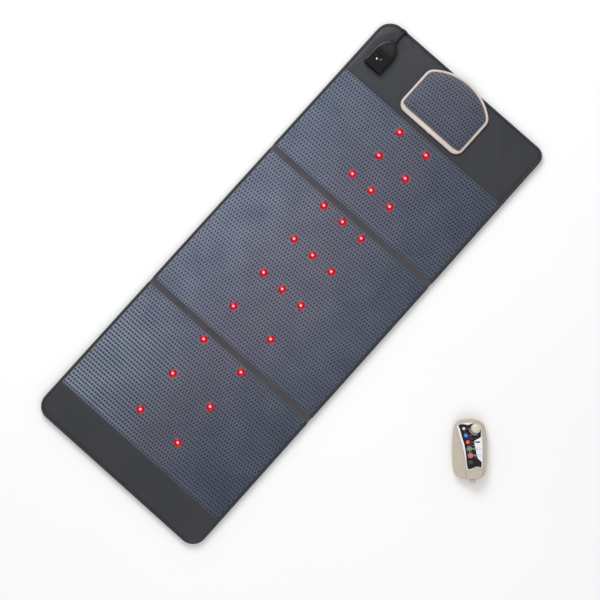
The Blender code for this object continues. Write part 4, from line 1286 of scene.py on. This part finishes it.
def connector_top():
    """The glossy plate round the latch, and the latch with its bright stud."""
    corners = [(-33, 705), (33, 705), (31, 772), (-31, 772)]
    front = rounded([(CONNECTOR_X + across * MM, y * MM, 6 * MM) for across, y in corners])
    plate = connector_part(
        "connector_top_plate", resampled(front, 2 * MM), PLATE_LEVELS, GLOSS_BLACK, draw_in=inset
    )
    carve(plate, [recess("plate_cut", "connector_latch", 0.6 * MM, (40 * MM, 50 * MM))], edge=0.4 * MM)
    low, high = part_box("connector_latch")
    outline = resampled(rectangle(low[0], high[0], low[1], high[1], 2.5 * MM), 1.2 * MM)
    latch = connector_part("latch_button", outline, LATCH_LEVELS, GLOSS_BLACK, "latch")
    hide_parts("connector_latch")
    lathe("latch_stud", STUD_PLACE, in_metres(STUD_PROFILE), 28, STEEL, "latch", "steel")
    return [plate, latch]


def lead_fittings():
    """The ribbed strain relief at the connector, and the grommet at the mat's end."""
    boot = lathe("lead_strain_relief", (0, 0), in_metres(BOOT_RINGS), 28, RUBBER, "head_panel", "rubber")
    place = Matrix.Translation((CONNECTOR_X, 0, LEAD_ROUTE[-1][2]))
    boot.data.transform(place @ Matrix.Rotation(-math.pi / 2, 4, "X"))
    carve(boot, [lead_bore("boot_cut", LEAD_RADIUS + 0.35 * MM, 30 * MM, 827 * MM)])
    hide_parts("lead_boot")
    outline = resampled(rectangle(-287 * MM, -265 * MM, 863.8 * MM, 873.8 * MM, 4 * MM), 1.2 * MM)
    grommet = slab("lead_exit_grommet", outline, in_metres(GROMMET_LEVELS), RUBBER, "head_panel", "rubber")
    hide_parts("lead_grommet")
    return [boot, grommet]


def build_connector():
    return [*connector_shells(), *connector_top(), *lead_fittings()]


def build_lead():
    curve = bpy.data.curves.new("lead", "CURVE")
    curve.dimensions = "3D"
    curve.bevel_depth = LEAD_RADIUS
    curve.bevel_resolution = 6
    curve.use_fill_caps = True
    spline = curve.splines.new("POLY")
    spline.points.add(len(LEAD_ROUTE) - 1)
    for point, place in zip(spline.points, LEAD_ROUTE):
        point.co = (*place, 1)
    spline.use_smooth = True
    curve.materials.append(RUBBER)
    made = bpy.data.objects.new("lead_cable", curve)
    link(made)
    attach(made, "head_panel")
    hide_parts("connector_lead")
    return made


# ---------------------------------------------------------------- the hand controller

SHELL_OUTLINE = [
    (-44, -85), (-34, -92), (-18, -96.5), (0, -98), (18, -98), (33, -97), (43, -91), (51, -81), (54.5, -66),
    (56.5, -40), (57, -5), (56.5, 30), (54, 62), (50, 76), (44, 84), (36, 91), (24, 96), (8, 99), (-10, 99),
    (-28, 96), (-40, 90), (-48, 80), (-53, 62), (-56, 30), (-57, -5), (-56, -40), (-54, -64), (-50, -77),
]
TIER_OUTLINE = [
    (-5, -98.6), (3, -98.8), (26, -98.8), (33, -97.6), (37.4, -93.5), (39.3, -87), (43, -57), (44, -1),
    (43, 29), (40.6, 60), (37.5, 86), (24, 92), (8, 95), (-10, 95), (-28, 91.5), (-42, 84), (-46.5, 78),
    (-40, 61), (-32, 36), (-25.5, 12),
    (-20.5, -14), (-15.5, -41), (-13, -72), (-12, -88), (-9.8, -95.5),
]
OVERLAY_OUTLINE = [
    (-6, -69), (3, -68), (10, -64.5), (18, -59.5), (26, -58), (33, -59.5), (39, -63), (40.5, -34), (41.2, 0),
    (40.5, 30), (38, 62), (36.5, 73), (33, 77), (24, 81), (8, 84), (-5, 85), (-20, 83), (-35, 79), (-40.5, 76),
    (-41.8, 72), (-40, 62), (-33, 38), (-25.5, 12), (-19, -15), (-15, -40), (-11.5, -62), (-9.5, -67),
]
BLACK_FIELD = [
    (-8.4, -63.4), (-5.6, -66.5), (-0.8, -67.3), (8, -64.1), (16.7, -59.8), (24.7, -58.2), (30.3, -58.6),
    (36.7, -61), (38.1, -44.2), (37.1, -41.8), (29.5, -35.5), (24.7, -29.9), (22.3, -21.1), (20.7, -13.6),
    (19.1, -3.3), (15.1, 14.3), (14.3, 23), (16.7, 27), (23.9, 31), (33.5, 36.6), (36.3, 41.4), (36.2, 55),
    (35.9, 66.9), (32, 75), (25, 80.5), (15.9, 82.4), (4, 81.2), (-0.8, 78.4), (-8.8, 77.6), (-18.3, 79.8),
    (-27.9, 80), (-36.7, 77.2), (-37.9, 74), (-36.7, 72.4), (-31.9, 60.5), (-25.5, 36.6), (-18.3, 12.7),
    (-15.9, -1.2), (-13.5, -13.6), (-12, -33.1),
]


def smooth(points):
    """An outline in metres, drawn smoothly through points in millimetres."""
    return resampled(in_metres(spline_outline(points)), 2 * MM)


def face_cutters(shrink):
    """Holes for what comes up through the controller's face."""
    holes = [(name, u, v, radius + 0.35 - shrink, 40) for name, (u, v, radius) in BUTTONS.items()]
    holes.append(("temperature", *TEMPERATURE_AXIS, 4, 40))
    holes.append(("frequency", *FREQUENCY_AXIS, 3, 40))
    holes += [(f"indicator_{i}", u, v, 2.7, 24) for i, (u, v) in enumerate(INDICATORS)]
    cutters = []
    for name, u, v, radius, segments in holes:
        cutters.append(solid_round(name + "_hole", (u * MM, v * MM), radius * MM, *FACE_HOLES_Z, segments))
    u, v = DISPLAY_CENTRE
    sides = ((u - 7.9) * MM, (u + 7.9) * MM), ((v - 6.8) * MM, (v + 6.8) * MM)
    cutters.insert(len(BUTTONS), solid_box("display_hole", *sides, FACE_HOLES_Z))
    return cutters


def face_layer(name, outline, levels, finish, slot, shrink=0.0):
    """A layer of the controller's face, with its holes."""
    made = slab(name, outline, in_metres(levels), finish, "controller", slot)
    carve(made, face_cutters(shrink))
    made.data.transform(CONTROLLER_PLACE)
    return made


REAR_LEVELS = [
    (2.0, 8.0), (2.1, 6.2), (3.0, 3.2), (4.8, 1.3), (7.5, 0.3), (11, 0), (19.6, 0), (20, 0.4), (20, 1.2),
]
FRONT_LEVELS = [
    (20.3, 1.2), (20.3, 0.4), (20.7, 0), (26, 0), (29.5, 0.5), (32.2, 1.8), (34.1, 3.9), (35.3, 6.8),
    (35.9, 10.5), (36.1, 15), (36.2, 20),
]
TIER_LEVELS = [
    (33, -0.6), (36.2, -0.6), (36.6, -0.2), (38.2, 0), (39.6, 0.3), (40.5, 0.9), (40.95, 1.8), (41.0, 2.6),
]


def controller_shells():
    outline = in_metres(spline_outline(SHELL_OUTLINE))
    slot = "controller_plastic"
    rear = slab("controller_rear_case", outline, in_metres(REAR_LEVELS), SHELL, "controller", slot)
    rear.data.transform(CONTROLLER_PLACE)
    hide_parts("controller_rear_shell")
    front = face_layer("controller_front_case", outline, FRONT_LEVELS, SHELL, slot)
    face_layer("controller_raised_face", smooth(TIER_OUTLINE), TIER_LEVELS, SHELL, slot)
    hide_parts("controller_front_shell")


def printed(name, shapes, z_range, finish, body="controller", slot="overlay_print"):
    """Flat printed shapes as one thin piece: each an outline, or an outer and an inner one of equal length."""
    bottom, top = z_range
    vertices, faces = [], []
    for shape in shapes:
        outer, inner = shape if isinstance(shape, tuple) else (shape, None)
        start, count = len(vertices), len(outer)
        if inner is None:
            vertices += [(x, y, z) for z in (bottom, top) for x, y in outer]
            faces += loops_to_faces((2, count), start)
            continue
        for loop, z in ((outer, bottom), (outer, top), (inner, top), (inner, bottom)):
            vertices += [(x, y, z) for x, y in loop]
        faces += loops_to_faces((4, count), start, caps=False)
        last = start + 3 * count
        following = [(i, (i + 1) % count) for i in range(count)]
        faces += [(last + i, last + j, start + j, start + i) for i, j in following]
    vertices = [CONTROLLER_PLACE @ Vector(v) for v in vertices]
    piece(name, vertices, faces, finish, body, slot, sharp=30)


def disc(u, v, radius, steps=36):
    return arc((u * MM, v * MM), radius * MM, 0, math.tau, steps)[:-1]


def ring(u, v, outer, inner):
    return (disc(u, v, outer), disc(u, v, inner))


def bar(u0, v0, u1, v1, width):
    a, b = Vector((u0, v0)), Vector((u1, v1))
    side = Vector((a.y - b.y, b.x - a.x)).normalized() * width / 2
    return [tuple(spot * MM) for spot in (a - side, b - side, b + side, a + side)][::-1]


def spoke(u, v, turn, near, far, width):
    """A bar that points away from a centre."""
    cos, sin = math.cos(turn), math.sin(turn)
    return bar(u + near * cos, v + near * sin, u + far * cos, v + far * sin, width)


def pill(u, v, half_u, half_v, turn=0.0):
    outline = rectangle(-half_u, half_u, -half_v, half_v, min(half_u, half_v) * 0.95, 6)
    cos, sin = math.cos(turn), math.sin(turn)
    return [((u + x * cos - y * sin) * MM, (v + x * sin + y * cos) * MM) for x, y in outline]


def film_left_edge(v):
    """How far left the film reaches, at a height up its left side."""
    side = sorted((pv, pu) for pu, pv in OVERLAY_OUTLINE if pu < -11 and pv < 72.5)
    for (low_v, low_u), (high_v, high_u) in zip(side, side[1:]):
        if low_v <= v <= high_v:
            return low_u + (high_u - low_u) * (v - low_v) / (high_v - low_v)
    return side[0][1]


FILM_LEVELS = [(41.05, 0), (41.45, 0), (41.5, 0.2), (41.5, 1.0)]
FIELD_LEVELS = [(41.45, 0), (41.6, 0), (41.62, 0.1), (41.62, 0.6)]
FINE_LINKS = (
    (-6, 42.7, 0.2, 42.6), (-7.6, 38, -2, 33.6), (-2, 33.6, 3.3, 32.4), (0.2, 21.3, 6.4, 21.2),
    (-1.2, 17, 4, 12.4), (4, 12.4, 9, 10.6), (-18.5, 59.6, -15.4, 49.4),
)


def face_prints():
    """The printed film: a white sheet, a black field, blank labels, link lines and the dial's scale."""
    film = smooth(OVERLAY_OUTLINE)
    white = face_layer("controller_film", film, FILM_LEVELS, PRINT_WHITE, "overlay_print", 0.1)
    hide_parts("controller_overlay")
    face_layer("film_black_field", smooth(BLACK_FIELD), FIELD_LEVELS, PRINT_BLACK, "overlay_print", 0.05)
    labels = [pill(-22, 76, 12, 2.1, 0.06), pill(-7.7, 55.5, 5.2, 2.1)]
    labels += [pill(22.2, 40.2, 10.2, 2.1), pill(20, -48.8, 4.4, 2.0)]
    printed("film_dark_labels", labels, FILM_PRINT_Z, PRINT_BLACK)
    printed("film_black_label", [pill(25.3, 21.6, 8.2, 2.3)], FILM_PRINT_Z, PRINT_BLACK)
    framed = [(pill(u, v, 8.2, 3.0), pill(u, v, 7.4, 2.2)) for u, v in ((27.6, -0.2), (30.7, -21.9))]
    printed("film_label_frames", framed, FILM_PRINT_Z, PRINT_GREY)
    scale = []
    for i in range(19):
        far = 21.6 if i % 3 else 22.8
        scale.append(spoke(*TEMPERATURE_AXIS, math.radians(183 + i * 5.6), 18.6, far, 0.75))
    scale.append(bar(-14.5, 64.4, -7.5, 64.4, 0.35))
    printed("film_dial_scale", scale, FILM_PRINT_Z, PRINT_WHITE)
    printed("film_fine_links", [bar(*ends, 0.4) for ends in FINE_LINKS], FILM_PRINT_Z, PRINT_GREY)
    bold = [bar(6.2, -0.5, 11.4, -0.4, 0.9), bar(9.8, -21.9, 15, -21.9, 0.9)]
    bold += [ring(14.3, -0.3, 3.3, 2.75), ring(17.9, -21.9, 3.3, 2.75)]
    bold += [ring(-1.8, -0.5, 8.5, 7.9), ring(1.8, -21.9, 8.5, 7.9)]
    printed("film_bold_links", bold, FILM_PRINT_Z, PRINT_WHITE)
    hatch = []
    for i in range(46):
        v = 70 - i * 2.8
        edge = film_left_edge(v)
        hatch.append(bar(edge + 0.9, v, edge + 2.3, v - 2.4, 0.45))
    printed("film_hatching", hatch, HATCHING_Z, PRINT_GREY)


KEY_FINISHES = {
    "pulse": (BLUE, "button_blue"),
    "photon": (RED, "button_red"),
    "timer": (GREEN, "button_green"),
    "power": (RED, "button_red"),
}


def key_marks():
    """A plain generic mark for each key: two bars, a sun, a clock and a power sign."""
    u, v, _ = BUTTONS["pulse"]
    pulse = [bar(u - 3.2, v + 1.4, u + 3.2, v + 1.4, 0.7), bar(u - 3.2, v - 1.2, u + 3.2, v - 1.2, 0.7)]
    u, v, _ = BUTTONS["photon"]
    photon = [ring(u, v, 1.7, 1.05), *(spoke(u, v, math.tau * i / 8, 2.3, 4, 0.5) for i in range(8))]
    u, v, _ = BUTTONS["timer"]
    timer = [ring(u, v, 3.5, 2.8), bar(u, v - 0.3, u, v + 2.0, 0.6), bar(u - 0.3, v, u + 1.4, v, 0.6)]
    u, v, _ = BUTTONS["power"]
    outer, inner = (
        arc((u * MM, v * MM), radius * MM, math.radians(125), math.radians(415), 24) for radius in (3.2, 2.5)
    )
    power = [[*outer, *inner[::-1]], bar(u, v + 0.6, u, v + 3.7, 0.7)]
    return {"pulse": pulse, "photon": photon, "timer": timer, "power": power}


def keys():
    for name, (u, v, radius) in BUTTONS.items():
        finish, slot = KEY_FINISHES[name]
        profile = [
            (radius + 1, 35.2), (radius + 1, 37.9), (radius, 38.1), (radius, 42.3), (radius - 0.25, 42.8),
            (radius - 0.8, 43.1), (radius * 0.6, 43.25), (radius * 0.2, 43.3),
        ]
        body = name + "_key"
        made = lathe(body, (u * MM, v * MM), in_metres(profile), 48, finish, body, slot, CONTROLLER_PLACE)
        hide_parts(name + "_button")
    for name, shapes in key_marks().items():
        printed(name + "_key_mark", shapes, KEY_PRINT_Z, PRINT_WHITE, name + "_key", KEY_FINISHES[name][1])


LARGE_DIAL = [
    (3.4, 42.5), (15.9, 42.5), (16.4, 42.9), (16.5, 45.0), (16.2, 46.2), (15.4, 46.9), (15.0, 48.5),
    (14.6, 50.4), (13.9, 52.2), (12.7, 53.8), (10.9, 55.2), (8.6, 56.2), (5.6, 56.8), (2.6, 57.0), (0.6, 57.0),
]
SMALL_DIAL = [
    (2.4, 42.5), (5.2, 42.5), (5.35, 43.0), (5.3, 48.6), (4.9, 49.5), (4.1, 49.95), (2.0, 50.0), (0.5, 49.9),
]


def dial(which, axis, profile, steps, flutes):
    centre, body = in_metres([axis])[0], which + "_dial"
    made = lathe(
        body + "_cap", centre, in_metres(profile), steps, IVORY, body, "knob_ivory", CONTROLLER_PLACE, flutes
    )
    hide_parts(which + "_knob")


def dials():
    dial("temperature", TEMPERATURE_AXIS, LARGE_DIAL, 144, (36, 0.5 * MM, 46.5 * MM, 52.5 * MM))
    u, v = TEMPERATURE_AXIS
    pointer = pill(u + 15.8, v + 3.4, 1.6, 0.7, 0.2)
    printed("temperature_pointer", [pointer], (44.5 * MM, 47.3 * MM), IVORY, "temperature_dial", "knob_ivory")
    dial("frequency", FREQUENCY_AXIS, SMALL_DIAL, 96, (8, 0.8 * MM, 42.8 * MM, 49.6 * MM))


def digit_bars(u, v, half_u, half_v):
    """The seven bars of one digit."""
    bars = [bar(u - half_u * 0.7, v + dv, u + half_u * 0.7, v + dv, 0.75) for dv in (-half_v, 0, half_v)]
    for side in (-1, 1):
        for up in (-1, 1):
            x = u + side * half_u
            bars.append(bar(x, v + up * half_v * 0.15, x, v + up * half_v * 0.85, 0.75))
    return bars


WINDOW_LEVELS = [(36, 0), (41.8, 0), (42.05, 0.3), (42.1, 0.9)]
INDICATOR_PROFILE = [(2.3, 38), (2.3, 41.9), (2.0, 42.2), (1.2, 42.4), (0.3, 42.45)]


def display():
    """The display's window with two unlit digits, and the seven indicator windows."""
    u, v = DISPLAY_CENTRE
    outline = resampled(in_metres(rectangle(u - 7.6, u + 7.6, v - 6.5, v + 6.5, 0.8)), 1 * MM)
    levels, slot = in_metres(WINDOW_LEVELS), "display_glass"
    window = slab("display_window", outline, levels, WINDOW, "controller", slot, CONTROLLER_PLACE)
    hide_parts("display_module")
    digits = digit_bars(u - 3.2, v, 1.9, 3.5) + digit_bars(u + 3.2, v, 1.9, 3.5)
    printed("display_digits", digits, (42.0 * MM, 42.16 * MM), SEGMENTS, slot=slot)
    profile = in_metres(INDICATOR_PROFILE)
    for i, place in enumerate(in_metres(INDICATORS), 1):
        name = f"indicator_window_{i}"
        lathe(name, place, profile, 24, PIPE, "controller", "light_pipe", CONTROLLER_PLACE)


def build_controller():
    controller_shells()
    face_prints()
    keys()
    dials()
    display()


# ---------------------------------------------------------------- stage, light and camera


def area_light(name, place, target, side, power):
    light = bpy.data.lights.new(name, "AREA")
    light.shape = "RECTANGLE"
    light.size = light.size_y = side
    light.energy = power
    made = bpy.data.objects.new(name, light)
    made.location = place
    made.rotation_euler = (Vector(target) - Vector(place)).to_track_quat("-Z", "Y").to_euler()
    link(made)


def build_stage():
    mesh = bpy.data.meshes.new("floor")
    corners = [(x * FLOOR_HALF, y * FLOOR_HALF, 0) for x, y in ((-1, -1), (1, -1), (1, 1), (-1, 1))]
    mesh.from_pydata(corners, [], [(0, 1, 2, 3)])
    recipe = Recipe("pale_floor", 0.85, Specular_IOR_Level=0.1)
    recipe.paint(recipe.between(recipe.noise(0.8, 2), (0.9, 0.9, 0.9, 1), (0.93, 0.93, 0.93, 1)))
    mesh.materials.append(recipe.done())
    floor = bpy.data.objects.new("floor", mesh)
    floor.location.z = FLOOR_Z
    link(floor)
    world = bpy.data.worlds.new("studio")
    world.use_nodes = True
    background = world.node_tree.nodes["Background"]
    background.inputs["Color"].default_value = WHITE
    background.inputs["Strength"].default_value = SKY_STRENGTH
    bpy.context.scene.world = world
    for name, settings in LIGHTS.items():
        area_light(name, *settings)


def build_camera():
    """Looks down at the mat from almost straight above, turned so that the mat lies across the picture."""
    azimuth, elevation, roll = (math.radians(a) for a in (CAMERA_AZIMUTH, CAMERA_ELEVATION, CAMERA_ROLL))
    away = math.cos(elevation)
    back = Vector((math.sin(azimuth) * away, -math.cos(azimuth) * away, math.sin(elevation)))
    level = (-back).cross(Vector((0, 0, 1))).normalized()
    upright = level.cross(-back)
    right = level * math.cos(roll) + upright * math.sin(roll)
    up = upright * math.cos(roll) - level * math.sin(roll)
    place = Matrix.Translation(Vector(CAMERA_TARGET) + back * CAMERA_DISTANCE)
    camera = bpy.data.objects.new("camera", bpy.data.cameras.new("camera"))
    camera.data.lens = CAMERA_LENS
    camera.data.sensor_width = 36
    camera.matrix_world = place @ Matrix((right, up, back)).transposed().to_4x4()
    link(camera)
    bpy.context.scene.camera = camera
    bpy.context.scene.view_settings.view_transform = "Standard"


build_camera()
lead = build_lead()
connector_pieces = build_connector()
finish_cad_nodes()
build_mat()
build_pillow()
build_controller()
build_stage()
